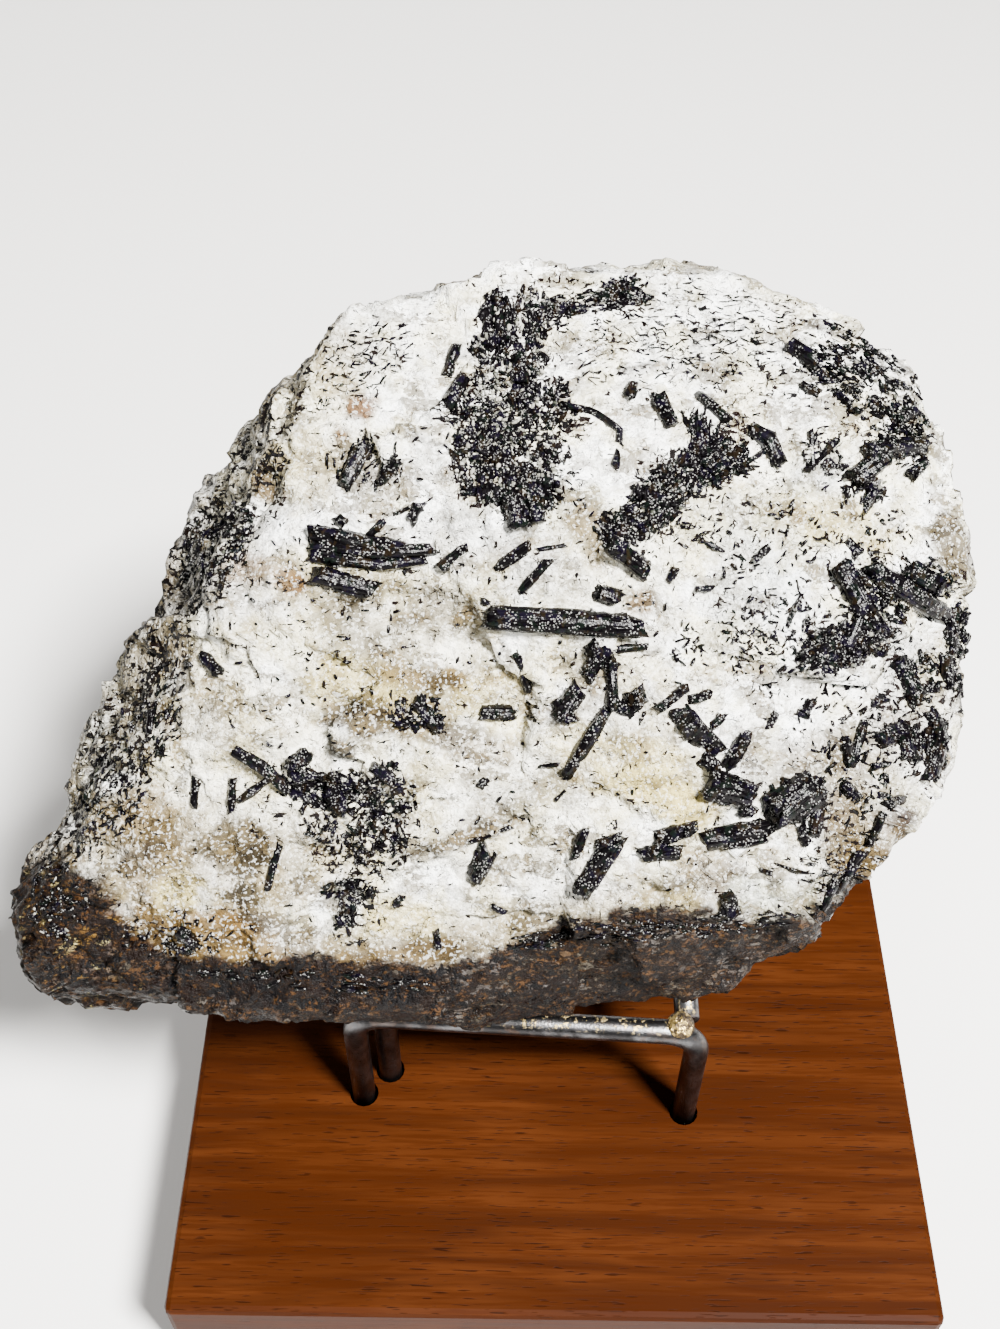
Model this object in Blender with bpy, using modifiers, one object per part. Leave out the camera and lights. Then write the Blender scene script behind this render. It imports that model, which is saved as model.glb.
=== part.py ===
"""Black tourmaline in quartz: a broken lump of white matrix with black prisms, on a rod stand.

Everything is in metres, +Z up. The origin is the middle of the wooden base's underside, +Y points
to the back, and the broad face of the stone leans back and looks forward and up.

The stone is described in its own leaning frame, in millimetres: "across" runs to the right, "up"
runs up the broad face, "near" comes out of the face towards a viewer who looks straight at it.
Its surface is star shaped about the frame's origin: for any direction, the distance to the surface
comes from the outline seen by that viewer and from a few broken faces in front and behind.
"""
import math

import bmesh
import bpy
import numpy as np
from mathutils import Matrix, Vector

MM = 0.001
GAP = 0.0003                      # clearance between touching pieces

# wooden base
BASE_WIDTH = 0.075
BASE_THICKNESS = 0.016
BASE_ARRIS = 0.0007
HOLE_DEPTH = 0.0065

# rod stand
ROD_RADIUS = 0.0012
HOLE_RADIUS = ROD_RADIUS + GAP
ROD_FOOT_DEPTH = 0.006
RING_HEIGHT = 0.0172              # rod centre line above the board
BEND_RADIUS = 0.0034
FRONT_LEFT_LEG = (-0.0197, -0.0149)
FRONT_RIGHT_LEG = (0.0137, -0.0165)
BACK_LEFT_LEG = (-0.0194, 0.0190)
BACK_RIGHT_LEG = (0.0130, 0.0186)
LEFT_RAIL_X = -0.0186
RIGHT_RAIL_X = 0.0126
BRACE = (-0.0171, -0.0122)
BEAD_RADIUS = 0.0014
BEAD_RISE = 0.0009                # of a brazing lump's middle above the ring's centre line
BEAD_SET_BACK = 0.0003            # of its middle from the bent rod's centre line, into the ring
BEAD_INWARD = 0.0008              # of its middle from the rail's centre line, into the ring
BEAD_FLATNESS = 0.85

# the stone's leaning frame
FACE_LEAN = 49.16                 # degrees the viewer looks down
FACE_TURN = 0.57                  # degrees the face is turned about the vertical
FACE_ROLL = 0.22                  # degrees the outline is rolled in its own plane
STONE_CENTRE = (-0.0058, 0.0040, 0.0633)
VIEW_DISTANCE = 139.5             # millimetres from the viewer's eye to the stone's centre
REST_HEIGHT = 33.7                # lowest part of the stone above the table, millimetres
STONE_TRIANGLES = 4600

# outline of the stone for that viewer: across, up (millimetres)
OUTLINE = [
    (-43.6, -22.5), (-42.1, -27.0), (-39.2, -30.4), (-35.7, -31.8), (-27.0, -31.1), (-14.0, -31.2),
    (0.0, -31.5), (15.6, -31.0), (20.5, -30.0), (27.2, -25.0), (32.4, -20.2), (34.6, -16.2),
    (38.6, -11.3), (41.9, -5.3), (42.8, 1.6), (42.1, 7.5), (40.6, 15.5), (39.5, 20.8),
    (38.6, 25.4), (34.9, 28.6), (28.0, 31.6), (25.6, 32.3), (19.2, 34.7), (15.0, 36.5),
    (11.4, 35.8), (4.0, 35.8), (-4.5, 33.4), (-13.4, 32.0), (-19.7, 24.1), (-26.1, 16.6),
    (-29.0, 12.0), (-35.3, -2.3), (-38.2, -9.1), (-39.9, -15.0), (-41.8, -17.2),
]
OUTLINE_SLACK = 0.5               # the rounding of the edges takes about this much off the outline
OUTLINE_SPARE = 0.2               # most that the broken blocks stand out past the outline
# how fast the sides draw in behind the outline, for directions right, up, left and down
SIDE_DRAW_IN = (0.62, 0.40, 0.50, 0.12)
# broken faces: direction across, up, near, and distance from the frame's origin in millimetres
BROKEN_FACES = [
    (0.02, -0.06, 1.00, 13.0),    # middle of the broad face
    (0.06, 0.34, 0.94, 16.9),     # upper part, leaning further back
    (-0.06, -0.30, 0.95, 15.6),   # lower part
    (-0.36, 0.08, 0.93, 20.0),    # left third
    (0.42, 0.06, 0.91, 20.6),     # right third
    (-0.78, 0.39, 0.49, 26.6),    # dark left side
    (-0.45, -0.52, 0.72, 38.0),   # lower left knob
    (0.14, -0.78, 0.62, 25.7),    # undercut below the face, right
    (-0.12, -0.86, 0.50, 31.0),   # undercut below the face, left
    (0.62, -0.60, 0.50, 32.6),    # lower right shoulder
    (0.04, 0.48, -0.88, 25.0),    # back
    (-0.52, 0.26, -0.81, 27.0),   # back left
    (0.56, 0.30, -0.77, 26.5),    # back right
    (0.30, -0.30, -0.90, 30.0),   # back, low right
]
EDGE_SHARPNESS = 50.0
SEARCH_NEAR = 24.0                # a point of the face is looked for from here, in millimetres
SEARCH_FAR = -14.0
SEARCH_STEPS = 153
BLOCK_SEED = 11
BLOCK_COUNT = 260
BLOCK_SPREAD = (45.0, 38.0, 26.0)
BLOCK_STRETCH = (1.0, 1.35, 1.0)
BLOCK_STEP = 0.55                 # millimetres between neighbouring broken blocks
BLOCK_TILT = 0.10
SWELL_SEED = 5
SWELL_LENGTH = 15.0
SWELL_HEIGHT = 0.45
SWELL_WAVES = 18
FRONT_DEPTH = -8.0                # the local forms lie in front of this depth, in millimetres
CRYSTAL_SIDES = 6
CRYSTAL_TAPER = 0.86
CRYSTAL_SINK = 0.10               # share of its width that a crystal's middle lies under the face
# crystals and bundles of crystals that overlap: start, end (across, up) and width in millimetres
CRYSTALS = {
    "prism_middle": [((-1.2, 4.4), (12.0, 3.6), 1.7)],
    "prism_lower": [((9.7, -3.9), (6.0, -9.8), 1.0)],
    "bundle_centre": [((9.3, 1.3), (5.6, -4.6), 1.2), ((8.8, 0.9), (13.1, -2.3), 1.4),
                      ((10.1, 1.3), (11.0, -4.3), 1.3)],
    "stub_right": [((15.9, -4.4), (19.3, -7.7), 2.0)],
    "stub_small": [((22.1, -6.3), (20.5, -9.1), 1.2)],
    "lozenge": [((18.7, -10.4), (22.2, -11.7), 2.5)],
    "block_dark": [((23.9, -13.3), (28.1, -10.6), 3.2)],
    "prism_low_right": [((18.4, -15.6), (23.6, -14.9), 1.8)],
    "prism_lower_middle": [((10.3, -15.8), (7.4, -20.3), 1.5)],
    "stub_low": [((-1.1, -16.4), (-2.2, -18.9), 1.6)],
    "prism_low_left": [((13.9, -15.4), (17.2, -14.7), 1.3)],
    "prism_low_left_under": [((12.7, -17.1), (16.3, -16.9), 1.3)],
    "prism_left": [((-23.8, -7.7), (-19.3, -10.6), 1.0)],
    "block_left": [((-19.1, -8.9), (-17.6, -8.4), 1.3)],
    "prism_right_edge": [((35.4, 0.2), (37.1, -3.0), 1.6)],
    "prism_right_low": [((36.0, -5.7), (36.7, -8.6), 1.4)],
    "ridge_right": [((34.2, 8.3), (40.0, 4.3), 1.3)],
    "bundle_left": [((-17.2, 12.0), (-10.8, 10.8), 1.7), ((-15.3, 11.6), (-6.5, 10.3), 1.3),
                    ((-13.9, 9.2), (-6.8, 10.1), 1.2)],
    "blade_left": [((-16.6, 7.9), (-11.6, 6.9), 1.4)],
    "aggregate_top": [((-3.4, 23.6), (0.0, 15.7), 2.9), ((0.4, 25.6), (0.4, 13.7), 3.4),
                      ((5.4, 23.6), (2.5, 14.8), 3.4), ((1.8, 16.6), (1.8, 12.3), 2.3),
                      ((-1.1, 32.8), (0.7, 24.5), 2.2), ((2.3, 32.6), (1.4, 24.2), 2.3),
                      ((0.0, 31.5), (9.4, 33.3), 2.0), ((7.6, 33.7), (12.6, 32.6), 1.6)],
    "aggregate_diagonal": [((21.4, 19.5), (14.4, 16.6), 2.7), ((21.1, 18.0), (12.6, 14.4), 3.1),
                           ((15.1, 16.2), (9.5, 12.8), 3.1), ((18.0, 22.2), (16.2, 17.5), 1.4)],
    "prism_tip": [((9.9, 10.9), (13.0, 8.4), 1.4)],
    "cluster_right": [((30.6, 9.0), (32.6, 4.7), 2.0), ((31.1, 1.3), (33.1, 6.7), 2.3)],
    "blade_upper_right": [((32.9, 18.9), (36.7, 19.7), 1.2)],
    "prism_upper_edge": [((26.1, 28.5), (28.3, 27.2), 1.4)],
    "aggregate_left": [((-18.0, -10.4), (-13.5, -12.6), 2.7), ((-16.2, -14.9), (-8.1, -10.4), 4.0),
                       ((-15.8, -17.6), (-9.0, -15.8), 3.1), ((-13.9, -16.7), (-11.9, -22.3), 2.3)],
}
# dents and swellings: across, up, radius, height (millimetres)
LOCAL_FORMS = [
    (-39.5, -13.5, 4.0, -1.0),    # notch above the lower left knob
    (29.5, 31.5, 2.2, -0.8),      # notch on the upper right edge
    (35.5, -16.5, 3.5, -1.1),     # notch on the lower right edge
    (12.5, -10.5, 8.0, 1.2),      # smooth cleavage lens
    (2.5, -5.0, 5.0, -0.8),       # hollow above the lens
    (-10.0, 0.5, 7.0, -0.9),      # glassy hollow
    (-20.0, -17.0, 6.0, 0.8),
    (22.0, 8.0, 7.0, -0.7),
    (-4.0, 20.0, 8.0, 0.7),
    (24.5, -21.0, 3.5, 0.9),      # striated glassy block
]


def unit(v):
    """Vector of length one."""
    v = np.asarray(v, float)
    return v / np.linalg.norm(v)


def stone_axes():
    """The leaning frame's across, up and near directions, as rows."""
    lean = math.radians(FACE_LEAN)
    turn = math.radians(FACE_TURN)
    roll = math.radians(FACE_ROLL)
    right = np.array([math.cos(turn), math.sin(turn), 0.0])
    ahead = np.array([-math.sin(turn), math.cos(turn), 0.0])
    high = np.array([0.0, 0.0, 1.0])
    near = -(math.cos(lean) * ahead - math.sin(lean) * high)
    up = math.sin(lean) * ahead + math.cos(lean) * high
    across = math.cos(roll) * right + math.sin(roll) * up
    up = math.cos(roll) * up - math.sin(roll) * right
    return np.array([across, up, near])


AXES = stone_axes()


def to_world(points):
    """Points of the leaning frame in millimetres to metres in the part's frame."""
    return np.asarray(points) @ AXES * MM + np.array(STONE_CENTRE)


def outline_radius(angle):
    """Distance to the outline in the direction of an angle, straight lines between its points."""
    corners = np.array(OUTLINE)
    start = np.arctan2(corners[:, 1], corners[:, 0])
    order = np.argsort(start)
    corners = corners[order]
    start = start[order]
    index = np.searchsorted(start, angle, side="right") - 1
    a = corners[index % len(corners)]
    b = corners[(index + 1) % len(corners)]
    way = b - a
    direction = np.stack([np.cos(angle), np.sin(angle)], axis=-1)
    cross_way = a[..., 0] * way[..., 1] - a[..., 1] * way[..., 0]
    cross_direction = direction[..., 0] * way[..., 1] - direction[..., 1] * way[..., 0]
    return cross_way / cross_direction


def draw_in(angle):
    """How fast the side draws in behind the outline, blended round the four named directions."""
    right, top, left, bottom = SIDE_DRAW_IN
    c = np.cos(angle)
    s = np.sin(angle)
    return (np.where(c > 0, right, left) * c * c + np.where(s > 0, top, bottom) * s * s)


def side_limit(direction):
    """1 / distance to the side of the stone, which touches the viewer's lines of sight."""
    flat = np.hypot(direction[:, 0], direction[:, 1])
    angle = np.arctan2(direction[:, 1], direction[:, 0])
    reach = outline_radius(angle) + OUTLINE_SLACK
    sight = flat / reach + direction[:, 2] / VIEW_DISTANCE
    behind = (flat - draw_in(angle) * direction[:, 2]) / reach
    return np.maximum(np.maximum(sight, behind), 0.0001)


def plain_radius(direction):
    """Distance to the plain broken form for unit directions in the leaning frame.

    Each limit gives 1 / distance; a high power mean of them takes the nearest limit and rounds
    the edge between two limits a little.
    """
    limits = [side_limit(direction)]
    for across, up, near, distance in BROKEN_FACES:
        normal = unit((across, up, near))
        limits.append(np.maximum(direction @ normal, 0.0) / distance)
    low = AXES @ np.array([0.0, 0.0, -1.0])
    drop = STONE_CENTRE[2] / MM - REST_HEIGHT
    limits.append(np.maximum(direction @ low, 0.0) / drop)
    total = sum(limit ** EDGE_SHARPNESS for limit in limits)
    return total ** (-1.0 / EDGE_SHARPNESS)


def swell(points):
    """Slow swelling of the surface: a sum of seeded waves in all directions."""
    draw = np.random.default_rng(SWELL_SEED)
    total = np.zeros(len(points))
    for _ in range(SWELL_WAVES):
        wave = unit(draw.normal(size=3)) * 2.0 * math.pi / (SWELL_LENGTH * draw.uniform(0.6, 1.4))
        total += np.sin(points @ wave + draw.uniform(0.0, 2.0 * math.pi))
    return SWELL_HEIGHT * total / math.sqrt(SWELL_WAVES)


def blocks(points):
    """Broken blocks: each cell round a seeded point has its own step and tilt."""
    draw = np.random.default_rng(BLOCK_SEED)
    stretch = np.array(BLOCK_STRETCH)
    seeds = draw.uniform(-1.0, 1.0, (BLOCK_COUNT, 3)) * BLOCK_SPREAD
    step = draw.normal(0.0, BLOCK_STEP, BLOCK_COUNT)
    tilt = draw.normal(0.0, BLOCK_TILT, (BLOCK_COUNT, 3))
    apart = (points * stretch)[:, None, :] - (seeds * stretch)[None, :, :]
    cell = (apart ** 2).sum(axis=2).argmin(axis=1)
    return step[cell] + ((points - seeds[cell]) * tilt[cell]).sum(axis=1).clip(-1.0, 1.0)


def local_forms(points):
    """Named dents and swellings, round bells on the side that faces the viewer."""
    total = np.zeros(len(points))
    for across, up, radius, height in LOCAL_FORMS:
        distance = np.hypot(points[:, 0] - across, points[:, 1] - up) / radius
        total += height * np.exp(-distance ** 2) * (points[:, 2] > FRONT_DEPTH)
    return total


def stone_radius(direction):
    """Distance to the finished stone for unit directions in the leaning frame."""
    radius = plain_radius(direction)
    points = direction * radius[:, None]
    rough = radius + swell(points) + blocks(points) + local_forms(points)
    return np.minimum(rough, 1.0 / side_limit(direction) + OUTLINE_SPARE)


def face_point(across, up):
    """The point of the stone that the viewer sees at a place of the outline's plane."""
    near = np.linspace(SEARCH_NEAR, SEARCH_FAR, SEARCH_STEPS)
    shrink = 1.0 - near / VIEW_DISTANCE
    points = np.stack([across * shrink, up * shrink, near], axis=1)
    reach = np.linalg.norm(points, axis=1)
    depth = stone_radius(points / reach[:, None]) - reach
    first = int(np.argmax(depth > 0.0))
    share = depth[first] / (depth[first] - depth[first - 1])
    return points[first] + (points[first - 1] - points[first]) * share


def material(name, colour, roughness, metallic=0.0):
    """Principled material with one colour."""
    made = bpy.data.materials.new(name)
    made.use_nodes = True
    shader = made.node_tree.nodes["Principled BSDF"]
    shader.inputs["Base Color"].default_value = (*colour, 1.0)
    shader.inputs["Roughness"].default_value = roughness
    shader.inputs["Metallic"].default_value = metallic
    return made


def add_object(name, mesh, collection, finish=None):
    """Object for a mesh in a collection."""
    made = bpy.data.objects.new(name, mesh)
    collection.objects.link(made)
    if finish:
        mesh.materials.append(finish)
    return made


def as_cutter(piece):
    """A cutter is shown as wire and isn't part of the object."""
    piece.hide_render = True
    piece.display_type = "WIRE"
    return piece


def cut(piece, cutter):
    """Boolean difference of a piece with one cutter."""
    modifier = piece.modifiers.new("cut_" + cutter.name, "BOOLEAN")
    modifier.operation = "DIFFERENCE"
    modifier.solver = "EXACT"
    modifier.object = cutter


def join(piece, other):
    """Boolean union of a piece with another that overlaps it."""
    modifier = piece.modifiers.new("join_" + other.name, "BOOLEAN")
    modifier.operation = "UNION"
    modifier.solver = "EXACT"
    modifier.object = other


def drop_chips(piece):
    """Applies a piece's cuts and drops the small chips that they set free."""
    seen = piece.evaluated_get(bpy.context.evaluated_depsgraph_get())
    mesh = bpy.data.meshes.new_from_object(seen)
    form = bmesh.new()
    form.from_mesh(mesh)
    bmesh.ops.remove_doubles(form, verts=form.verts, dist=0.000002)
    bmesh.ops.triangulate(form, faces=form.faces)
    left = set(form.verts)
    islands = []
    while left:
        island = set()
        edge_of = [left.pop()]
        while edge_of:
            vertex = edge_of.pop()
            island.add(vertex)
            for edge in vertex.link_edges:
                other = edge.other_vert(vertex)
                if other in left:
                    left.remove(other)
                    edge_of.append(other)
        islands.append(island)
    islands.sort(key=len)
    for island in islands[:-1]:
        bmesh.ops.delete(form, geom=list(island), context="VERTS")
    form.to_mesh(mesh)
    form.free()
    mesh.name = piece.name
    piece.modifiers.clear()
    piece.data = mesh


def box_mesh(name):
    """The base board, standing on the origin."""
    form = bmesh.new()
    size = Matrix.Diagonal((BASE_WIDTH, BASE_WIDTH, BASE_THICKNESS, 1.0))
    bmesh.ops.create_cube(form, size=1.0, matrix=Matrix.Translation((0, 0, BASE_THICKNESS / 2)) @ size)
    mesh = bpy.data.meshes.new(name)
    form.to_mesh(mesh)
    form.free()
    return mesh


def cylinder_mesh(name, radius, depth, centre, segments=16):
    """Upright cylinder as a mesh."""
    form = bmesh.new()
    bmesh.ops.create_cone(form, cap_ends=True, segments=segments, radius1=radius, radius2=radius,
                          depth=depth, matrix=Matrix.Translation(centre))
    mesh = bpy.data.meshes.new(name)
    form.to_mesh(mesh)
    form.free()
    return mesh


def rounded_path(corners, bend, steps=5):
    """Path through corners, each inner corner replaced by an arc of the bend radius."""
    path = [Vector(corners[0])]
    for before, corner, after in zip(corners, corners[1:], corners[2:]):
        corner = Vector(corner)
        back = (Vector(before) - corner).normalized()
        ahead = (Vector(after) - corner).normalized()
        half = back.angle(ahead) / 2.0
        run = bend / math.tan(half)
        centre = corner + (back + ahead).normalized() * bend / math.sin(half)
        start = corner + back * run - centre
        end = corner + ahead * run - centre
        sweep = start.angle(end)
        for i in range(steps + 1):
            t = i / steps
            path.append(centre + (start * math.sin((1 - t) * sweep) + end * math.sin(t * sweep))
                        / math.sin(sweep))
    path.append(Vector(corners[-1]))
    return path


def rod_mesh(name, path, radius):
    """Round rod along a path: a curve with a bevel, made a closed mesh."""
    curve = bpy.data.curves.new(name, "CURVE")
    curve.dimensions = "3D"
    curve.bevel_depth = radius
    curve.bevel_resolution = 2
    curve.use_fill_caps = True
    spline = curve.splines.new("POLY")
    spline.points.add(len(path) - 1)
    for point, place in zip(spline.points, path):
        point.co = (*place, 1.0)
    holder = bpy.data.objects.new(name + "_curve", curve)
    bpy.context.scene.collection.objects.link(holder)
    bpy.context.view_layer.update()
    seen = holder.evaluated_get(bpy.context.evaluated_depsgraph_get())
    mesh = bpy.data.meshes.new_from_object(seen)
    mesh.name = name
    bpy.data.objects.remove(holder)
    form = bmesh.new()
    form.from_mesh(mesh)
    bmesh.ops.remove_doubles(form, verts=form.verts, dist=0.00001)
    bmesh.ops.recalc_face_normals(form, faces=form.faces)
    form.to_mesh(mesh)
    form.free()
    return mesh


def between(p, q, x):
    """Y on the straight line from p to q at a given X."""
    return p[1] + (q[1] - p[1]) * (x - p[0]) / (q[0] - p[0])


def stand_paths():
    """Centre lines of the stand's rods: two bent rods with legs, two side rails and a brace."""
    foot = BASE_THICKNESS - ROD_FOOT_DEPTH
    ring = BASE_THICKNESS + RING_HEIGHT
    inset = 2.0 * ROD_RADIUS + GAP
    paths = {}
    for name, left, right in (("stand_front_rod", FRONT_LEFT_LEG, FRONT_RIGHT_LEG),
                              ("stand_back_rod", BACK_LEFT_LEG, BACK_RIGHT_LEG)):
        corners = [(*left, foot), (*left, ring), (*right, ring), (*right, foot)]
        paths[name] = rounded_path(corners, BEND_RADIUS)
    for name, x in (("stand_left_rail", LEFT_RAIL_X), ("stand_right_rail", RIGHT_RAIL_X)):
        front = between(FRONT_LEFT_LEG, FRONT_RIGHT_LEG, x) + inset - ROD_RADIUS
        back = between(BACK_LEFT_LEG, BACK_RIGHT_LEG, x) - inset + ROD_RADIUS
        paths[name] = [Vector((x, front, ring)), Vector((x, back, ring))]
    paths["stand_left_brace"] = [Vector((*BRACE, foot)), Vector((*BRACE, ring - ROD_RADIUS - GAP))]
    return paths


def bead_places():
    """Middles of the four brazing lumps, on top of the joints."""
    height = BASE_THICKNESS + RING_HEIGHT + BEAD_RISE
    places = {}
    for side, x in (("left", LEFT_RAIL_X), ("right", RIGHT_RAIL_X)):
        front = between(FRONT_LEFT_LEG, FRONT_RIGHT_LEG, x) + BEAD_SET_BACK
        back = between(BACK_LEFT_LEG, BACK_RIGHT_LEG, x) - BEAD_SET_BACK
        inward = BEAD_INWARD if side == "left" else -BEAD_INWARD
        places["braze_front_" + side] = Vector((x + inward, front, height))
        places["braze_back_" + side] = Vector((x + inward, back, height))
    return places


def ball_mesh(name, radius, centre):
    """Round lump, a little flattened."""
    form = bmesh.new()
    bmesh.ops.create_icosphere(form, subdivisions=2, radius=radius,
                               matrix=Matrix.Translation(centre) @ Matrix.Diagonal((1, 1, BEAD_FLATNESS, 1)))
    mesh = bpy.data.meshes.new(name)
    form.to_mesh(mesh)
    form.free()
    return mesh


def stone_mesh(name):
    """The matrix: a sphere's points pressed onto the stone's surface, then thinned."""
    form = bmesh.new()
    bmesh.ops.create_icosphere(form, subdivisions=6, radius=1.0)
    points = np.array([vertex.co for vertex in form.verts])
    points = points / np.linalg.norm(points, axis=1)[:, None]
    places = to_world(points * stone_radius(points)[:, None])
    for vertex, place in zip(form.verts, places):
        vertex.co = place
    bmesh.ops.recalc_face_normals(form, faces=form.faces)
    mesh = bpy.data.meshes.new(name)
    form.to_mesh(mesh)
    form.free()
    return mesh


def prism_mesh(name, start, end, width, grow=0.0):
    """Hexagonal prism between two places of the broad face, its middle just under the surface."""
    first = Vector(to_world(face_point(*start)))
    last = Vector(to_world(face_point(*end)))
    near = Vector(AXES[2])
    axis = last - first
    middle = (first + last) / 2.0 - near * width * MM * CRYSTAL_SINK
    turn = axis.to_track_quat("Z", "X").to_matrix().to_4x4()
    form = bmesh.new()
    bmesh.ops.create_cone(form, cap_ends=True, segments=CRYSTAL_SIDES, radius1=width * MM / 2 + grow,
                          radius2=width * MM * CRYSTAL_TAPER / 2 + grow, depth=axis.length + 2 * grow,
                          matrix=Matrix.Translation(middle) @ turn)
    mesh = bpy.data.meshes.new(name)
    form.to_mesh(mesh)
    form.free()
    return mesh


def main():
    """Builds every piece."""
    for old in list(bpy.data.objects):
        bpy.data.objects.remove(old)
    parts = bpy.data.collections.new("black_tourmaline_in_quartz")
    cutters = bpy.data.collections.new("cutters")
    bpy.context.scene.collection.children.link(parts)
    bpy.context.scene.collection.children.link(cutters)
    quartz = material("quartz", (0.80, 0.77, 0.71), 0.55)
    tourmaline = material("tourmaline", (0.012, 0.012, 0.014), 0.25)
    steel = material("stand_metal", (0.20, 0.20, 0.21), 0.30, 1.0)
    brass = material("brazing", (0.72, 0.52, 0.20), 0.35, 1.0)
    wood = material("wood", (0.36, 0.13, 0.03), 0.45)

    stone = add_object("quartz_matrix", stone_mesh("quartz_matrix"), parts, quartz)
    thin = stone.modifiers.new("thin", "DECIMATE")
    thin.ratio = STONE_TRIANGLES / len(stone.data.polygons)

    base = add_object("wooden_base", box_mesh("wooden_base"), parts, wood)
    arris = base.modifiers.new("arris", "BEVEL")
    arris.width = BASE_ARRIS
    arris.segments = 2

    for name, path in stand_paths().items():
        add_object(name, rod_mesh(name, path, ROD_RADIUS), parts, steel)
        seat = add_object(name + "_seat", rod_mesh(name + "_seat", path, ROD_RADIUS + GAP), cutters)
        cut(stone, as_cutter(seat))
        for x, y, z in {tuple(point) for point in path if point.z < BASE_THICKNESS}:
            centre = (x, y, BASE_THICKNESS - HOLE_DEPTH / 2 + BASE_ARRIS / 2)
            hole = cylinder_mesh(name + "_hole", HOLE_RADIUS, HOLE_DEPTH + BASE_ARRIS, centre)
            cut(base, as_cutter(add_object(name + "_hole", hole, cutters)))

    for name, place in bead_places().items():
        bead = add_object(name, ball_mesh(name, BEAD_RADIUS, place), parts, brass)
        for rod in stand_paths():
            cut(bead, cutters.objects[rod + "_seat"])
        seat = add_object(name + "_seat", ball_mesh(name + "_seat", BEAD_RADIUS + GAP, place), cutters)
        cut(stone, as_cutter(seat))

    for name, prisms in CRYSTALS.items():
        crystal = None
        for count, (start, end, width) in enumerate(prisms):
            label = name + "_" + str(count)
            mesh = prism_mesh(label, start, end, width)
            if crystal is None:
                crystal = add_object(name, mesh, parts, tourmaline)
            else:
                join(crystal, as_cutter(add_object(label, mesh, cutters)))
            pocket = prism_mesh(label + "_pocket", start, end, width, GAP)
            cut(stone, as_cutter(add_object(label + "_pocket", pocket, cutters)))
    bpy.context.view_layer.update()
    drop_chips(stone)


if __name__ == "__main__":
    main()
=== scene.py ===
"""Looks of the black tourmaline in quartz on its rod stand.

The stone's surface is worked out in its own leaning frame, in millimetres: "across" runs to the
right, "up" runs up the broad face and "near" comes out of it towards the camera. The camera looks
straight along "near", so a place of the broad face is named by its across and up.
"""
import math

import bpy
import numpy as np
from mathutils import Matrix, Vector
from mathutils.bvhtree import BVHTree


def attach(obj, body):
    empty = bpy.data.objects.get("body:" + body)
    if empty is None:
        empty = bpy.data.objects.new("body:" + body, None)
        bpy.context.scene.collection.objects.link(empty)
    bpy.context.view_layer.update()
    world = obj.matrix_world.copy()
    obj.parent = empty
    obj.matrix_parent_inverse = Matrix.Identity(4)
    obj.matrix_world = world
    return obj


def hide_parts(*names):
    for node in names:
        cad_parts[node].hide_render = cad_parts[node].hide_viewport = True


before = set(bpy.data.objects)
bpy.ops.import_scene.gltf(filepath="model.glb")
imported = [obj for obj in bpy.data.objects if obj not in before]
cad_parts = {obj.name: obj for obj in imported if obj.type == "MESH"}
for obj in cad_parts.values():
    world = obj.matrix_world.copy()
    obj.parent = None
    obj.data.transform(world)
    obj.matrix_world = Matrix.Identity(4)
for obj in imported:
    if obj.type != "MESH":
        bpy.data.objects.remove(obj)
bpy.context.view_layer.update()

MM = 0.001
TURN = 2.0 * math.pi

# Picture and camera: pixels of the photograph, and the sensor in mm
PICTURE = (1000, 1329)
FOCAL_PIXELS = 1550.0
SENSOR = 36.0

# The stone's leaning frame in degrees, its centre in metres and its form in mm, as in the solid
FACE_LEAN = 49.16
FACE_TURN = 0.57
FACE_ROLL = 0.22
STONE_CENTRE = (-0.0058, 0.0040, 0.0633)
VIEW_DISTANCE = 139.5
REST_HEIGHT = 33.7

# Outline of the stone in the plane of the broad face: (across, up)
OUTLINE = [
    (-43.6, -22.5), (-42.1, -27.0), (-39.2, -30.4), (-35.7, -31.8), (-27.0, -31.1), (-14.0, -31.2),
    (0.0, -31.5), (15.6, -31.0), (20.5, -30.0), (27.2, -25.0), (32.4, -20.2), (34.6, -16.2),
    (38.6, -11.3), (41.9, -5.3), (42.8, 1.6), (42.1, 7.5), (40.6, 15.5), (39.5, 20.8),
    (38.6, 25.4), (34.9, 28.6), (28.0, 31.6), (25.6, 32.3), (19.2, 34.7), (15.0, 36.5),
    (11.4, 35.8), (4.0, 35.8), (-4.5, 33.4), (-13.4, 32.0), (-19.7, 24.1), (-26.1, 16.6),
    (-29.0, 12.0), (-35.3, -2.3), (-38.2, -9.1), (-39.9, -15.0), (-41.8, -17.2),
]
OUTLINE_SLACK = 0.5
OUTLINE_SPARE = 0.2
SIDE_DRAW_IN = (0.62, 0.40, 0.50, 0.12)       # right, top, left, bottom

# Broken faces: (across, up and near of the direction out of it, distance from the centre in mm)
BROKEN_FACES = [
    (0.02, -0.06, 1.00, 13.0),
    (0.06, 0.34, 0.94, 16.9),
    (-0.06, -0.30, 0.95, 15.6),
    (-0.36, 0.08, 0.93, 20.0),
    (0.42, 0.06, 0.91, 20.6),
    (-0.78, 0.39, 0.49, 26.6),
    (-0.45, -0.52, 0.72, 38.0),
    (0.14, -0.78, 0.62, 25.7),
    (-0.12, -0.86, 0.50, 31.0),
    (0.62, -0.60, 0.50, 32.6),
    (0.04, 0.48, -0.88, 25.0),
    (-0.52, 0.26, -0.81, 27.0),
    (0.56, 0.30, -0.77, 26.5),
    (0.30, -0.30, -0.90, 30.0),
]
EDGE_SHARPNESS = 50.0

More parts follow.
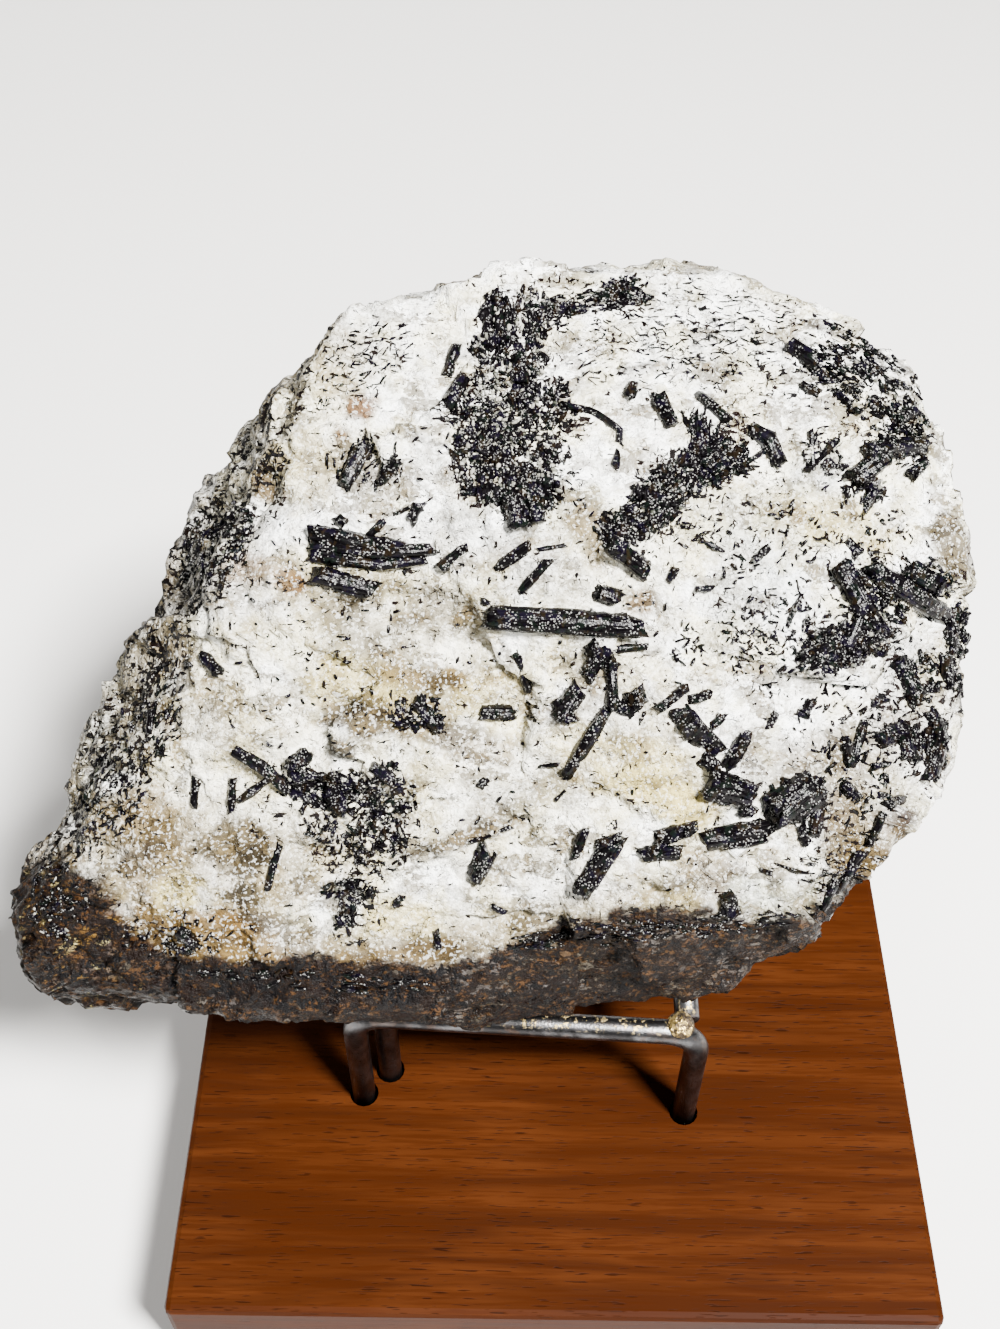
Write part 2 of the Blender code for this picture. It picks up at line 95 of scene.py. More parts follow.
# Blocks and swells of the broken surface, in mm
BLOCK_SEED = 11
BLOCK_COUNT = 260
BLOCK_STEP = 0.55
BLOCK_TILT = 0.10
BLOCK_SPREAD = (45.0, 38.0, 26.0)
BLOCK_STRETCH = (1.0, 1.35, 1.0)
SWELL_SEED = 5
SWELL_WAVES = 18
SWELL_LENGTH = 15.0
SWELL_HEIGHT = 0.45

# Dents and swellings of the broad face, in mm: (across, up, radius, height)
LOCAL_FORMS = [
    (-39.5, -13.5, 4.0, -1.0),
    (29.5, 31.5, 2.2, -0.8),
    (35.5, -16.5, 3.5, -1.1),
    (12.5, -10.5, 8.0, 1.2),
    (2.5, -5.0, 5.0, -0.8),
    (-10.0, 0.5, 7.0, -0.9),
    (-20.0, -17.0, 6.0, 0.8),
    (22.0, 8.0, 7.0, -0.7),
    (-4.0, 20.0, 8.0, 0.7),
    (24.5, -21.0, 3.5, 0.9),
]

# A spot of the broad face without steps between blocks, in mm: (across, up, radius)
WHOLE_SPOT = (-24.7, -18.3, 7.0)

# Ledges of the broad face: pixels of the photograph, step in millimetres (its lower side stands
# out where it is positive, for a line drawn to the right) and how far it fades, in pixels
LEDGES = [
    ([(262, 790), (300, 800), (330, 790)], 0.5, 18.0),
    ([(335, 740), (390, 729), (428, 739), (470, 755), (522, 767), (562, 776)], 0.9, 26.0),
    ([(604, 786), (630, 805), (665, 820), (706, 812)], -0.8, 18.0),
    ([(575, 760), (607, 752), (665, 760), (704, 782)], 0.7, 20.0),
    ([(510, 709), (560, 713)], 0.8, 12.0),
    ([(430, 858), (460, 845), (498, 833), (520, 815)], -0.7, 22.0),
    ([(600, 905), (640, 880), (668, 888), (702, 872), (748, 850)], -0.9, 22.0),
    ([(330, 600), (400, 590), (470, 600), (490, 640)], -0.7, 30.0),
    ([(430, 655), (500, 690), (530, 700)], 0.6, 20.0),
    ([(205, 640), (240, 700), (220, 760)], 0.7, 26.0),
    ([(190, 850), (260, 836), (330, 850)], -0.7, 24.0),
    ([(590, 560), (650, 600), (690, 640)], 0.6, 24.0),
    ([(780, 470), (830, 520), (900, 560)], 0.7, 22.0),
    ([(700, 860), (760, 868), (830, 862)], 0.8, 14.0),
    ([(850, 780), (880, 810), (905, 800)], 0.8, 20.0),
    ([(300, 640), (370, 650), (420, 690)], 0.5, 24.0),
    ([(560, 430), (600, 470), (600, 520)], 0.5, 20.0),
    ([(395, 425), (440, 470), (450, 520)], -0.5, 22.0),
]

# Broken grains of the fine relief: (size in mm, squash, salt, step in mm, lean in mm)
GRAINS = [
    (3.6, (1.2, 0.8, 1.0), 3, 0.55, 1.00),
    (1.7, (1.15, 0.85, 1.0), 23, 0.30, 0.52),
    (0.8, (1.1, 0.9, 1.0), 43, 0.12, 0.16),
]
RIPPLE_LENGTH = 2.4
RIPPLE_HEIGHT = 0.10
RIPPLE_SALT = 61
FRONT_DEPTH = -8.0                # forms of the broad face end behind this depth

# The fine mesh of the stone
POLE_ANGLE = 29.0                 # degrees of the stone's long axis in the outline's plane
RINGS = 330
RING_POINTS = 300
FRONT_WEIGHT = 1.1


def unit(v):
    """Vector of length one."""
    v = np.asarray(v, float)
    return v / np.linalg.norm(v)


def smooth(low, high, x):
    """0 at low and 1 at high on an S curve; low may be over high."""
    t = np.clip((x - low) / (high - low), 0.0, 1.0)
    return t * t * (3.0 - 2.0 * t)


def stone_axes():
    """The leaning frame's across, up and near directions, as rows."""
    lean = math.radians(FACE_LEAN)
    turn = math.radians(FACE_TURN)
    roll = math.radians(FACE_ROLL)
    right = np.array([math.cos(turn), math.sin(turn), 0.0])
    ahead = np.array([-math.sin(turn), math.cos(turn), 0.0])
    high = np.array([0.0, 0.0, 1.0])
    near = -(math.cos(lean) * ahead - math.sin(lean) * high)
    up = math.sin(lean) * ahead + math.cos(lean) * high
    across = math.cos(roll) * right + math.sin(roll) * up
    up = math.cos(roll) * up - math.sin(roll) * right
    return np.array([across, up, near])


AXES = stone_axes()
PIXEL = VIEW_DISTANCE / FOCAL_PIXELS          # mm on the stone for a pixel of the photograph
CENTRE = np.array(STONE_CENTRE)
EYE = CENTRE + AXES[2] * VIEW_DISTANCE * MM


def to_world(points):
    """Points of the leaning frame in millimetres to metres in the part's frame."""
    return np.asarray(points) @ AXES * MM + CENTRE


def outline_radius(angle):
    """Distance to the outline at an angle, straight lines between its points."""
    corners = np.array(OUTLINE)
    start = np.arctan2(corners[:, 1], corners[:, 0])
    order = np.argsort(start)
    corners = corners[order]
    start = start[order]
    index = np.searchsorted(start, angle, side="right") - 1
    a = corners[index % len(corners)]
    b = corners[(index + 1) % len(corners)]
    way = b - a
    cross_way = a[..., 0] * way[..., 1] - a[..., 1] * way[..., 0]
    cross_direction = np.cos(angle) * way[..., 1] - np.sin(angle) * way[..., 0]
    return cross_way / cross_direction


def draw_in(angle):
    """How fast the side draws in behind the outline."""
    right, top, left, bottom = SIDE_DRAW_IN
    c = np.cos(angle)
    s = np.sin(angle)
    return np.where(c > 0, right, left) * c * c + np.where(s > 0, top, bottom) * s * s


def side_limit(direction):
    """1 / distance to the side of the stone, which touches the camera's lines of sight."""
    flat = np.hypot(direction[:, 0], direction[:, 1])
    angle = np.arctan2(direction[:, 1], direction[:, 0])
    reach = outline_radius(angle) + OUTLINE_SLACK
    sight = flat / reach + direction[:, 2] / VIEW_DISTANCE
    behind = (flat - draw_in(angle) * direction[:, 2]) / reach
    return np.maximum(np.maximum(sight, behind), 0.0001)


def plain_radius(direction):
    """Distance to the plain broken form: a high power mean of 1 / distance over all its limits."""
    limits = [side_limit(direction)]
    for across, up, near, distance in BROKEN_FACES:
        normal = unit((across, up, near))
        limits.append(np.maximum(direction @ normal, 0.0) / distance)
    low = AXES @ np.array([0.0, 0.0, -1.0])
    drop = STONE_CENTRE[2] / MM - REST_HEIGHT
    limits.append(np.maximum(direction @ low, 0.0) / drop)
    total = sum(limit ** EDGE_SHARPNESS for limit in limits)
    return total ** (-1.0 / EDGE_SHARPNESS)


def swell(points):
    """Slow swelling of the surface: a sum of seeded waves in all directions."""
    draw = np.random.default_rng(SWELL_SEED)
    total = np.zeros(len(points))
    for _ in range(SWELL_WAVES):
        wave = unit(draw.normal(size=3)) * TURN / (SWELL_LENGTH * draw.uniform(0.6, 1.4))
        total += np.sin(points @ wave + draw.uniform(0.0, TURN))
    return SWELL_HEIGHT * total / math.sqrt(SWELL_WAVES)


def blocks(points):
    """Broken blocks: each cell round a seeded point has its own step and tilt."""
    draw = np.random.default_rng(BLOCK_SEED)
    stretch = np.array(BLOCK_STRETCH)
    seeds = draw.uniform(-1.0, 1.0, (BLOCK_COUNT, 3)) * np.array(BLOCK_SPREAD)
    step = draw.normal(0.0, BLOCK_STEP, BLOCK_COUNT)
    tilt = draw.normal(0.0, BLOCK_TILT, (BLOCK_COUNT, 3))
    nearest = np.full(len(points), np.inf)
    cell = np.zeros(len(points), int)
    for i, seed in enumerate(seeds * stretch):
        distance = ((points * stretch - seed) ** 2).sum(axis=1)
        closer = distance < nearest
        nearest = np.where(closer, distance, nearest)
        cell = np.where(closer, i, cell)
    return step[cell] + ((points - seeds[cell]) * tilt[cell]).sum(axis=1).clip(-1.0, 1.0)


def local_forms(points):
    """Named dents and swellings, round bells on the side that faces the camera."""
    total = np.zeros(len(points))
    for across, up, radius, height in LOCAL_FORMS:
        distance = np.hypot(points[:, 0] - across, points[:, 1] - up) / radius
        total += height * np.exp(-distance ** 2) * (points[:, 2] > FRONT_DEPTH)
    return total


def stone_radius(direction):
    """Distance to the broken stone for unit directions in the leaning frame.

    Swells, blocks and local forms stand on the plain form, which the side's limit cuts off.
    """
    radius = plain_radius(direction)
    points = direction * radius[:, None]
    across, up, spot_radius = WHOLE_SPOT
    whole = np.hypot(points[:, 0] - across, points[:, 1] - up) / spot_radius
    broken = blocks(points) * smooth(0.5, 1.3, whole)
    rough = radius + swell(points) + broken + local_forms(points)
    return np.minimum(rough, 1.0 / side_limit(direction) + OUTLINE_SPARE)


def mixed(cell, salt):
    """Evenly spread numbers from 0 to 1 for whole-number cells: a sine's far digits."""
    value = np.sin(cell @ np.array([12.9898, 78.233, 37.719]) + salt * 4.1414) * 43758.5453
    return value - np.floor(value)


def grains(points, size, squash, salt):
    """Jittered cells: for each point the cell's own random number and how its tilt lifts the point.

    The cell is that of the nearest of the jittered middles in the 27 cubes round the point.
    """
    place = points / (size * np.array(squash))
    base = np.floor(place)
    nearest = np.full(len(points), np.inf)
    owner = np.zeros_like(base)
    offset = np.zeros_like(base)
    for i in (-1, 0, 1):
        for j in (-1, 0, 1):
            for k in (-1, 0, 1):
                cell = base + np.array([i, j, k])
                jitter = np.stack([mixed(cell, salt + n) for n in (1, 2, 3)], axis=1)
                away = place - cell - jitter
                distance = np.sqrt((away ** 2).sum(axis=1))
                closer = distance < nearest
                nearest = np.where(closer, distance, nearest)
                owner = np.where(closer[:, None], cell, owner)
                offset = np.where(closer[:, None], away, offset)
    own = mixed(owner, salt + 7)
    tilt = np.stack([mixed(owner, salt + n) for n in (8, 9, 10)], axis=1) - 0.5
    return own, (tilt * offset).sum(axis=1)


def waves(points, length, salt, count=14):
    """Smooth noise from about -1 to 1: a sum of seeded waves."""
    draw = np.random.default_rng(salt)
    total = np.zeros(len(points))
    for _ in range(count):
        wave = unit(draw.normal(size=3)) * TURN / (length * draw.uniform(0.6, 1.5))
        total += np.sin(points @ wave + draw.uniform(0.0, TURN))
    return total / math.sqrt(count)


def fine_relief(points):
    """Height of the fine relief in millimetres: broken grains in three sizes, ripples and ledges."""
    height = np.zeros(len(points))
    for size, squash, salt, step, lean in GRAINS:
        own, tilt = grains(points, size, squash, salt)
        height += step * (own - 0.5) + lean * tilt
    height += RIPPLE_HEIGHT * waves(points, RIPPLE_LENGTH, RIPPLE_SALT)
    return height + ledges(points)


def picture_place(points):
    """Where points of the leaning frame are seen: pixels from the left and from the top."""
    seen = points[:, :2] / (1.0 - points[:, 2:3] / VIEW_DISTANCE)
    scale = FOCAL_PIXELS / VIEW_DISTANCE
    return PICTURE[0] / 2 + seen[:, 0] * scale, PICTURE[1] / 2 - seen[:, 1] * scale


def line_distance(places, line):
    """Distance to a line through pixels, and the side: 1 below or right of its way, -1 on the other."""
    best = np.full(len(places[0]), np.inf)
    side = np.zeros(len(places[0]))
    for (x0, y0), (x1, y1) in zip(line, line[1:]):
        way = np.array([x1 - x0, y1 - y0], float)
        length = np.hypot(*way)
        right = places[0] - x0
        down = places[1] - y0
        share = np.clip((right * way[0] + down * way[1]) / length ** 2, 0.0, 1.0)
        distance = np.hypot(right - share * way[0], down - share * way[1])
        closer = distance < best
        best = np.where(closer, distance, best)
        side = np.where(closer, np.sign(way[0] * down - way[1] * right), side)
    return best, side


def ledges(points):
    """Height of the broken ledges: a step across each ledge line that fades away from it."""
    places = picture_place(points)
    height = np.zeros(len(points))
    for line, step, fade in LEDGES:
        distance, side = line_distance(places, line)
        height += 0.5 * step * side * np.exp(-distance / fade) * (points[:, 2] > FRONT_DEPTH)
    return height


def stone_directions():
    """Directions of the grid's points, evenly spaced over the plain form and closer in front.

    The rings run round the stone's long axis; their places come from arc length measured on the
    plain form, weighted by FRONT_WEIGHT where the surface faces the camera.
    """
    pole = math.radians(POLE_ANGLE)
    long_axis = np.array([math.cos(pole), math.sin(pole), 0.0])
    short_axis = np.array([-math.sin(pole), math.cos(pole), 0.0])
    near = np.array([0.0, 0.0, 1.0])

    def along(u, v):
        return (np.cos(u)[:, None] * long_axis
                + (np.sin(u) * np.cos(v))[:, None] * short_axis
                + (np.sin(u) * np.sin(v))[:, None] * near)

    def even(angles, directions, count, closed):
        points = directions * plain_radius(directions)[:, None]
        step = np.linalg.norm(np.diff(points, axis=0), axis=1)
        weight = 1.0 + FRONT_WEIGHT * smooth(-6.0, 2.0, points[1:, 2])
        way = np.concatenate([[0.0], np.cumsum(step * weight)])
        share = np.arange(count) / count if closed else np.arange(1, count + 1) / (count + 1)
        return np.interp(share * way[-1], way, angles)

    fine = np.linspace(0.0, TURN, 2401)
    turns = even(fine, along(np.full(len(fine), math.pi / 2), fine), RING_POINTS, True)
    fine = np.linspace(0.0, math.pi, 901)
    columns = [even(fine, along(fine, np.full(len(fine), v)), RINGS, False) for v in turns]
    u = np.array(columns).T
    v = np.tile(turns, (RINGS, 1))
    return long_axis, along(u.ravel(), v.ravel())


def unit_rows(v):
    """Rows of length one."""
    return v / np.maximum(np.linalg.norm(v, axis=-1), 1e-9)[..., None]


def mesh_object(name, verts, faces):
    """Object at the origin with its place in its mesh; faces are blocks of equal-length rows."""
    mesh = bpy.data.meshes.new(name)
    mesh.vertices.add(len(verts))
    mesh.vertices.foreach_set("co", np.asarray(verts, np.float32).ravel())
    loops = np.concatenate([np.asarray(block, np.int32).ravel() for block in faces])
    sizes = np.concatenate([np.full(len(block), len(block[0]), np.int32) for block in faces])
    starts = np.concatenate([[0], np.cumsum(sizes)[:-1]]).astype(np.int32)
    mesh.loops.add(len(loops))
    mesh.loops.foreach_set("vertex_index", loops)
    mesh.polygons.add(len(sizes))
    mesh.polygons.foreach_set("loop_start", starts)
    mesh.polygons.foreach_set("loop_total", sizes)
    mesh.polygons.foreach_set("use_smooth", np.full(len(sizes), True))
    mesh.update(calc_edges=True)
    mesh.validate()
    made = bpy.data.objects.new(name, mesh)
    bpy.context.scene.collection.objects.link(made)
    return made


def give(piece, name, values):
    """Stores a number or a triple for each point of a piece, for its material to read."""
    values = np.asarray(values, np.float32)
    if values.ndim == 1:
        store = piece.data.attributes.new(name, "FLOAT", "POINT")
        store.data.foreach_set("value", values)
    else:
        store = piece.data.attributes.new(name, "FLOAT_VECTOR", "POINT")
        store.data.foreach_set("vector", values.ravel())


def tube_faces(rings, points):
    """Quads of a closed tube grid of rings by points, wound so that the faces point outward."""
    i = np.arange(rings - 1)[:, None] * points
    j = np.arange(points)[None, :]
    k = (j + 1) % points
    return np.stack([i + j, i + points + j, i + points + k, i + k], axis=-1).reshape(-1, 4)


def cap_faces(rings, points):
    """Triangles that close a tube grid on two poles, the first and second point after the grid."""
    j = np.arange(points)
    k = (j + 1) % points
    count = rings * points
    last = count - points
    first_cap = np.stack([np.full(points, count), j, k], axis=1)
    last_cap = np.stack([np.full(points, count + 1), last + k, last + j], axis=1)
    return np.concatenate([first_cap, last_cap])


class Value:
    """Socket of a material whose arithmetic adds Math nodes; the other side may be a number."""

    def __init__(self, paint, socket):
        self.paint = paint
        self.socket = socket

    def math(self, operation, *terms):
        """Math node on the terms."""
        return self.paint.node("Math", {"operation": operation}, dict(enumerate(terms)))

    def __add__(self, other):
        return self.math("ADD", self, other)

    __radd__ = __add__

    def __sub__(self, other):
        return self.math("SUBTRACT", self, other)

    def __rsub__(self, other):
        return self.math("SUBTRACT", other, self)

    def __mul__(self, other):
        return self.math("MULTIPLY", self, other)

    __rmul__ = __mul__

    def larger(self, other):
        """The larger of the two."""
        return self.math("MAXIMUM", self, other)

    def between(self, low, high):
        """0 at low, 1 at high and held outside; low may be over high."""
        sockets = {"Value": self, "From Min": low, "From Max": high}
        return self.paint.node("MapRange", {"clamp": True}, sockets)


class Paint:
    """A material: node() adds any node, and the other methods are its usual uses."""

    def __init__(self, name):
        self.material = bpy.data.materials.new(name)
        self.material.use_nodes = True
        self.tree = self.material.node_tree
        self.shader = self.tree.nodes["Principled BSDF"]

    def feed(self, socket, value):
        """Links a Value to a socket, or sets a plain value on it."""
        if isinstance(value, Value):
            self.tree.links.new(value.socket, socket)
        else:
            socket.default_value = value

    def node(self, kind, settings, sockets, output=0):
        """Node of a kind with its settings and its sockets' values; gives one of its outputs."""
        made = self.tree.nodes.new("ShaderNode" + kind)
        for key, value in settings.items():
            setattr(made, key, value)
        for key, value in sockets.items():
            self.feed(made.inputs[key], value)
        return Value(self, made.outputs[output])

    def stored(self, name, output=1):
        """An attribute of the piece: its vector, or its number with output 2."""
        return self.node("Attribute", {"attribute_name": name}, {}, output)

    def millimetres(self):
        """Place on the piece in millimetres."""
        place = self.node("TexCoord", {}, {}, 3)
        return self.stretched(place, (1000.0, 1000.0, 1000.0))

    def stretched(self, place, factors):
        """A place multiplied along each axis."""
        return self.node("VectorMath", {"operation": "MULTIPLY"}, {0: place, 1: factors})

    def noise(self, place, scale, detail=2.0, rough=0.55, distortion=0.0):
        """Noise from 0 to 1 at a scale in 1/mm."""
        sockets = {"Vector": place, "Scale": scale, "Detail": detail, "Roughness": rough,
                   "Distortion": distortion}
        return self.node("TexNoise", {}, sockets)

    def cells(self, place, scale, feature="F1", output=0):
        """Cell pattern at a scale in 1/mm: distance, or with output 1 a colour for each cell."""
        return self.node("TexVoronoi", {"feature": feature}, {"Vector": place, "Scale": scale}, output)

    def cell_number(self, place, scale):
        """Each cell's own number from 0 to 1, the same all over the cell."""
        return self.node("SeparateColor", {}, {0: self.cells(place, scale, "F1", 1)})

    def mix(self, share, first, second, blend="MIX"):
        """Colour between two, or blended in another way."""
        settings = {"data_type": "RGBA", "blend_type": blend}
        return self.node("Mix", settings, {0: share, 6: first, 7: second}, 2)

    def bump(self, height, distance, strength):
        """Normal raised by a height in millimetres."""
        sockets = {"Height": height, "Distance": distance * MM, "Strength": strength}
        return self.node("Bump", {}, sockets)

    def finish(self, **sockets):
        """Sets the shader's sockets; an underscore in a name stands for a space."""
        for key, value in sockets.items():
            self.feed(self.shader.inputs[key.replace("_", " ")], value)
        return self.material


# The studio's tone curve, as ink() undoes it
CHROMA = 4.0
BRIGHT_END = 232.0
STEPS_PER_STOP = 23.0
SHOULDER_STOPS = 0.75
SHOULDER_STEPS = 15.0
TOP_ALBEDO = 0.95


def ink(red, green, blue):
    """Surface colour that shows as a screen colour, from 0 to 255, on the lit side of the stone.

    The studio's tone curve takes about one stop of light for each 23 steps of the screen, and
    three quarters of a stop more below its bright end; it also pales colours, so the channels are
    spread from their mean by a power.
    """
    screen = np.array([red, green, blue], float)
    below = max(BRIGHT_END - screen.mean(), 0.0)
    shoulder = SHOULDER_STOPS * (1.0 - math.exp(-below / SHOULDER_STEPS))
    stops = -below / STEPS_PER_STOP - shoulder
    level = TOP_ALBEDO * 2.0 ** stops * (screen / screen.mean()) ** CHROMA
    return (*np.minimum(level, TOP_ALBEDO).tolist(), 1.0)


WHITE = ink(231, 232, 231)
CREAM = ink(234, 226, 186)
GREY = ink(170, 161, 140)
BLUE_GREY = ink(200, 208, 214)
TAN = ink(190, 174, 138)
OCHRE = ink(182, 156, 98)
RUST = ink(182, 146, 98)
PINK = ink(206, 192, 178)
BROWN = ink(94, 68, 42)
UMBER = ink(32, 23, 14)
BLACK = ink(16, 15, 16)

# How much stronger than in its row a patch is laid, and the most of it
PATCH_BOOST = 1.3
PATCH_MOST = 0.95

# Soft patches of the matrix, in pixels of the photograph:
# (x, y, half width, half height, turn in degrees, strength, colour)
PATCHES = [
    (250, 780, 150, 170, 30, 0.30, CREAM), (190, 880, 120, 66, -20, 0.50, TAN),
    (560, 790, 180, 90, 0, 0.22, CREAM), (420, 650, 130, 80, -20, 0.35, CREAM),
    (300, 420, 60, 60, 40, 0.40, CREAM), (480, 930, 160, 30, 4, 0.35, CREAM),
    (820, 500, 90, 50, -20, 0.30, CREAM), (650, 560, 120, 40, 10, 0.25, CREAM),
    (400, 670, 95, 60, -25, 0.55, GREY), (345, 600, 45, 30, 0, 0.40, GREY),
    (430, 610, 60, 22, -8, 0.55, GREY), (360, 690, 60, 30, -20, 0.45, CREAM),
    (235, 845, 36, 28, 20, 0.75, GREY), (355, 720, 36, 18, 0, 0.75, BROWN),
    (425, 678, 48, 15, -8, 0.65, TAN), (190, 893, 32, 20, 0, 0.8, CREAM),
    (220, 935, 95, 30, -8, 0.75, OCHRE), (263, 483, 12, 20, 20, 0.7, OCHRE),
    (360, 409, 16, 11, 30, 0.75, RUST), (340, 435, 9, 8, 0, 0.8, RUST),
    (292, 585, 12, 9, 0, 0.7, RUST), (797, 515, 11, 10, 0, 0.8, RUST),
    (878, 545, 9, 7, 0, 0.6, OCHRE), (245, 569, 24, 15, 0, 0.7, PINK),
    (950, 540, 18, 32, 15, 0.75, GREY), (900, 820, 16, 22, 15, 0.75, BROWN),
    (530, 560, 45, 40, 0, 0.35, GREY), (600, 530, 35, 22, -30, 0.45, GREY),
    (820, 480, 32, 26, 0, 0.45, BLUE_GREY), (760, 560, 60, 60, 0, 0.30, BLUE_GREY),
    (840, 790, 62, 48, 30, 0.45, GREY), (690, 880, 30, 25, 0, 0.35, GREY),
    (640, 720, 70, 34, -10, 0.35, TAN), (590, 665, 25, 26, 30, 0.5, GREY),
    (520, 800, 60, 25, 15, 0.40, GREY), (460, 740, 60, 16, -12, 0.5, TAN),
    (500, 700, 40, 30, 0, 0.35, CREAM), (640, 600, 18, 14, 0, 0.7, OCHRE),
    (590, 540, 16, 30, 20, 0.5, TAN), (445, 330, 30, 16, 20, 0.35, CREAM),
    (330, 345, 30, 40, 35, 0.45, TAN), (215, 700, 30, 60, 20, 0.35, TAN),
    (140, 850, 36, 60, 20, 0.55, TAN), (480, 935, 90, 18, 4, 0.45, TAN),
    (350, 950, 90, 20, 2, 0.45, GREY), (250, 610, 40, 40, 30, 0.30, TAN),
    (490, 560, 40, 16, 0, 0.35, TAN), (300, 860, 50, 50, 0, 0.35, TAN),
    (238, 850, 34, 27, 0, 0.85, GREY), (360, 720, 32, 14, 0, 0.75, GREY),
    (342, 751, 14, 12, 0, 0.85, ink(132, 126, 116)), (406, 622, 22, 13, 0, 0.7, GREY),
    (445, 676, 26, 11, 10, 0.8, TAN), (245, 952, 36, 10, 0, 0.85, OCHRE),
    (240, 893, 15, 11, 0, 0.8, ink(150, 144, 132)), (186, 890, 28, 17, 0, 0.9, CREAM),
    (460, 838, 58, 6, 20, 0.7, ink(140, 126, 96)), (541, 711, 20, 4, 0, 0.85, OCHRE),
    # the next two patches, in the recess of the lower right steps, are painted shade
    (707, 862, 26, 22, 0, 0.55, TAN), (728, 885, 16, 26, 0, 0.6, ink(150, 132, 96)),
    (778, 892, 40, 15, 0, 0.95, ink(226, 230, 226)), (690, 902, 20, 12, 0, 0.5, CREAM),
    (896, 815, 22, 20, 20, 0.9, BROWN), (868, 860, 26, 24, 30, 0.9, BROWN),
    (842, 840, 34, 22, 30, 0.55, GREY), (845, 770, 70, 42, 20, 0.35, TAN),
    (660, 800, 60, 22, -20, 0.8, CREAM), (600, 745, 70, 22, -12, 0.5, CREAM),
    (405, 920, 34, 22, 0, 0.4, CREAM), (400, 955, 60, 13, 4, 0.7, ink(150, 130, 98)),
    (760, 760, 40, 30, 0, 0.45, GREY), (140, 800, 26, 50, 20, 0.5, TAN),
    (170, 640, 20, 46, 25, 0.45, TAN), (330, 470, 34, 40, 30, 0.35, TAN),
    (850, 520, 60, 26, -20, 0.4, CREAM), (450, 530, 40, 26, 0, 0.3, GREY),
    (862, 832, 40, 40, 30, 0.4, TAN), (905, 690, 46, 60, 0, 0.35, GREY),
]

# Where the matrix holds more black flecks, in pixels of the photograph:
# (x, y, half width, half height, turn in degrees, how many from 0 to 1)
FLECK_PATCHES = [
    (510, 445, 62, 72, 0, 0.85), (522, 325, 45, 48, 0, 0.65), (595, 300, 58, 16, 5, 0.55),
    (672, 490, 82, 30, 38, 0.85), (350, 830, 60, 60, 0, 0.60), (350, 905, 28, 34, 0, 0.6),
    (415, 712, 30, 22, 0, 0.6), (848, 645, 56, 30, 10, 0.75), (770, 640, 60, 50, 0, 0.42),
    (880, 405, 65, 40, -35, 0.55), (720, 340, 150, 60, -12, 0.40), (962, 650, 16, 55, 0, 0.7),
    (215, 545, 34, 58, -35, 0.75), (880, 590, 60, 40, -40, 0.6), (905, 700, 50, 66, 0, 0.60),
    (360, 365, 60, 36, 30, 0.36), (365, 470, 36, 30, 0, 0.42), (725, 500, 60, 60, 0, 0.30),
    (60, 930, 60, 60, 0, 0.75), (130, 760, 36, 120, -22, 0.55), (835, 835, 62, 40, 30, 0.56),
    (300, 800, 60, 40, 0, 0.35), (560, 740, 120, 60, 0, 0.16), (400, 560, 110, 60, 0, 0.24),
]


# Soft lines of painted shade along ledges and cracks, in pixels of the photograph: (pixels of the line,
# width)
SHADE_LINES = [
    ([(335, 741), (390, 730), (428, 740), (470, 756), (522, 768), (560, 777)], 3.0),
    ([(604, 786), (630, 805), (665, 820), (706, 812)], 2.4), ([(607, 754), (665, 761), (704, 782)], 2.0),
    ([(512, 709), (558, 711)], 3.4), ([(430, 858), (460, 846), (498, 834), (520, 816)], 2.6),
    ([(330, 741), (332, 770)], 2.6), ([(550, 708), (560, 722)], 3.0), ([(566, 718), (596, 706)], 2.4),
    ([(668, 889), (702, 874), (726, 868)], 2.6), ([(726, 868), (732, 896)], 2.4),
    ([(700, 912), (706, 884), (728, 876)], 2.2), ([(738, 884), (812, 880)], 2.0),
    ([(738, 892), (816, 888)], 2.0), ([(580, 745), (640, 735), (700, 742)], 1.8),
    ([(855, 560), (870, 572)], 3.4), ([(205, 655), (232, 690), (238, 705)], 2.2),
    ([(236, 600), (262, 606), (280, 600)], 3.0), ([(404, 420), (420, 440), (448, 446)], 2.0),
    ([(560, 385), (590, 400), (600, 405)], 2.0), ([(617, 465), (616, 482)], 3.0),
    ([(640, 470), (660, 476)], 2.4), ([(690, 345), (705, 350)], 2.6), ([(700, 362), (718, 370)], 3.0),
    ([(620, 372), (650, 364), (668, 366)], 2.4), ([(455, 360), (480, 350)], 2.4),
    ([(500, 640), (512, 664), (530, 672)], 3.0), ([(640, 655), (660, 650)], 2.4),
    ([(400, 780), (440, 776)], 1.8), ([(470, 868), (520, 872), (560, 868)], 1.8),
    ([(160, 700), (168, 730), (160, 750)], 2.4), ([(130, 800), (150, 830), (146, 860)], 2.6),
    ([(862, 380), (900, 400), (926, 420)], 2.6),
    ([(806, 322), (850, 340), (896, 372)], 3.4), ([(830, 352), (870, 366), (910, 392)], 3.0),
    ([(840, 330), (880, 350), (915, 375)], 3.0),
]

# Lower edge of the broad face, below which the underside shows dark brown, its own colour and painted shade,
# in pixels of the photograph
UNDERSIDE_LINE = [
    (0, 868), (60, 868), (96, 886), (130, 932), (165, 952), (250, 962), (330, 958), (400, 968),
    (450, 962), (490, 956), (520, 941), (560, 921), (610, 911), (640, 902), (680, 908), (735, 916),
    (790, 914), (830, 900), (852, 886), (885, 868), (1000, 850),
]


def patch_share(places, wobble, x, y, half_width, half_height, turn):
    """1 inside a turned ellipse and 0 outside, with a ragged soft rim."""
    turn = math.radians(turn)
    right = places[0] - x
    high = y - places[1]
    long_way = (right * math.cos(turn) + high * math.sin(turn)) / half_width
    cross_way = (high * math.cos(turn) - right * math.sin(turn)) / half_height
    return smooth(1.35, 0.65, np.hypot(long_way, cross_way) + wobble)


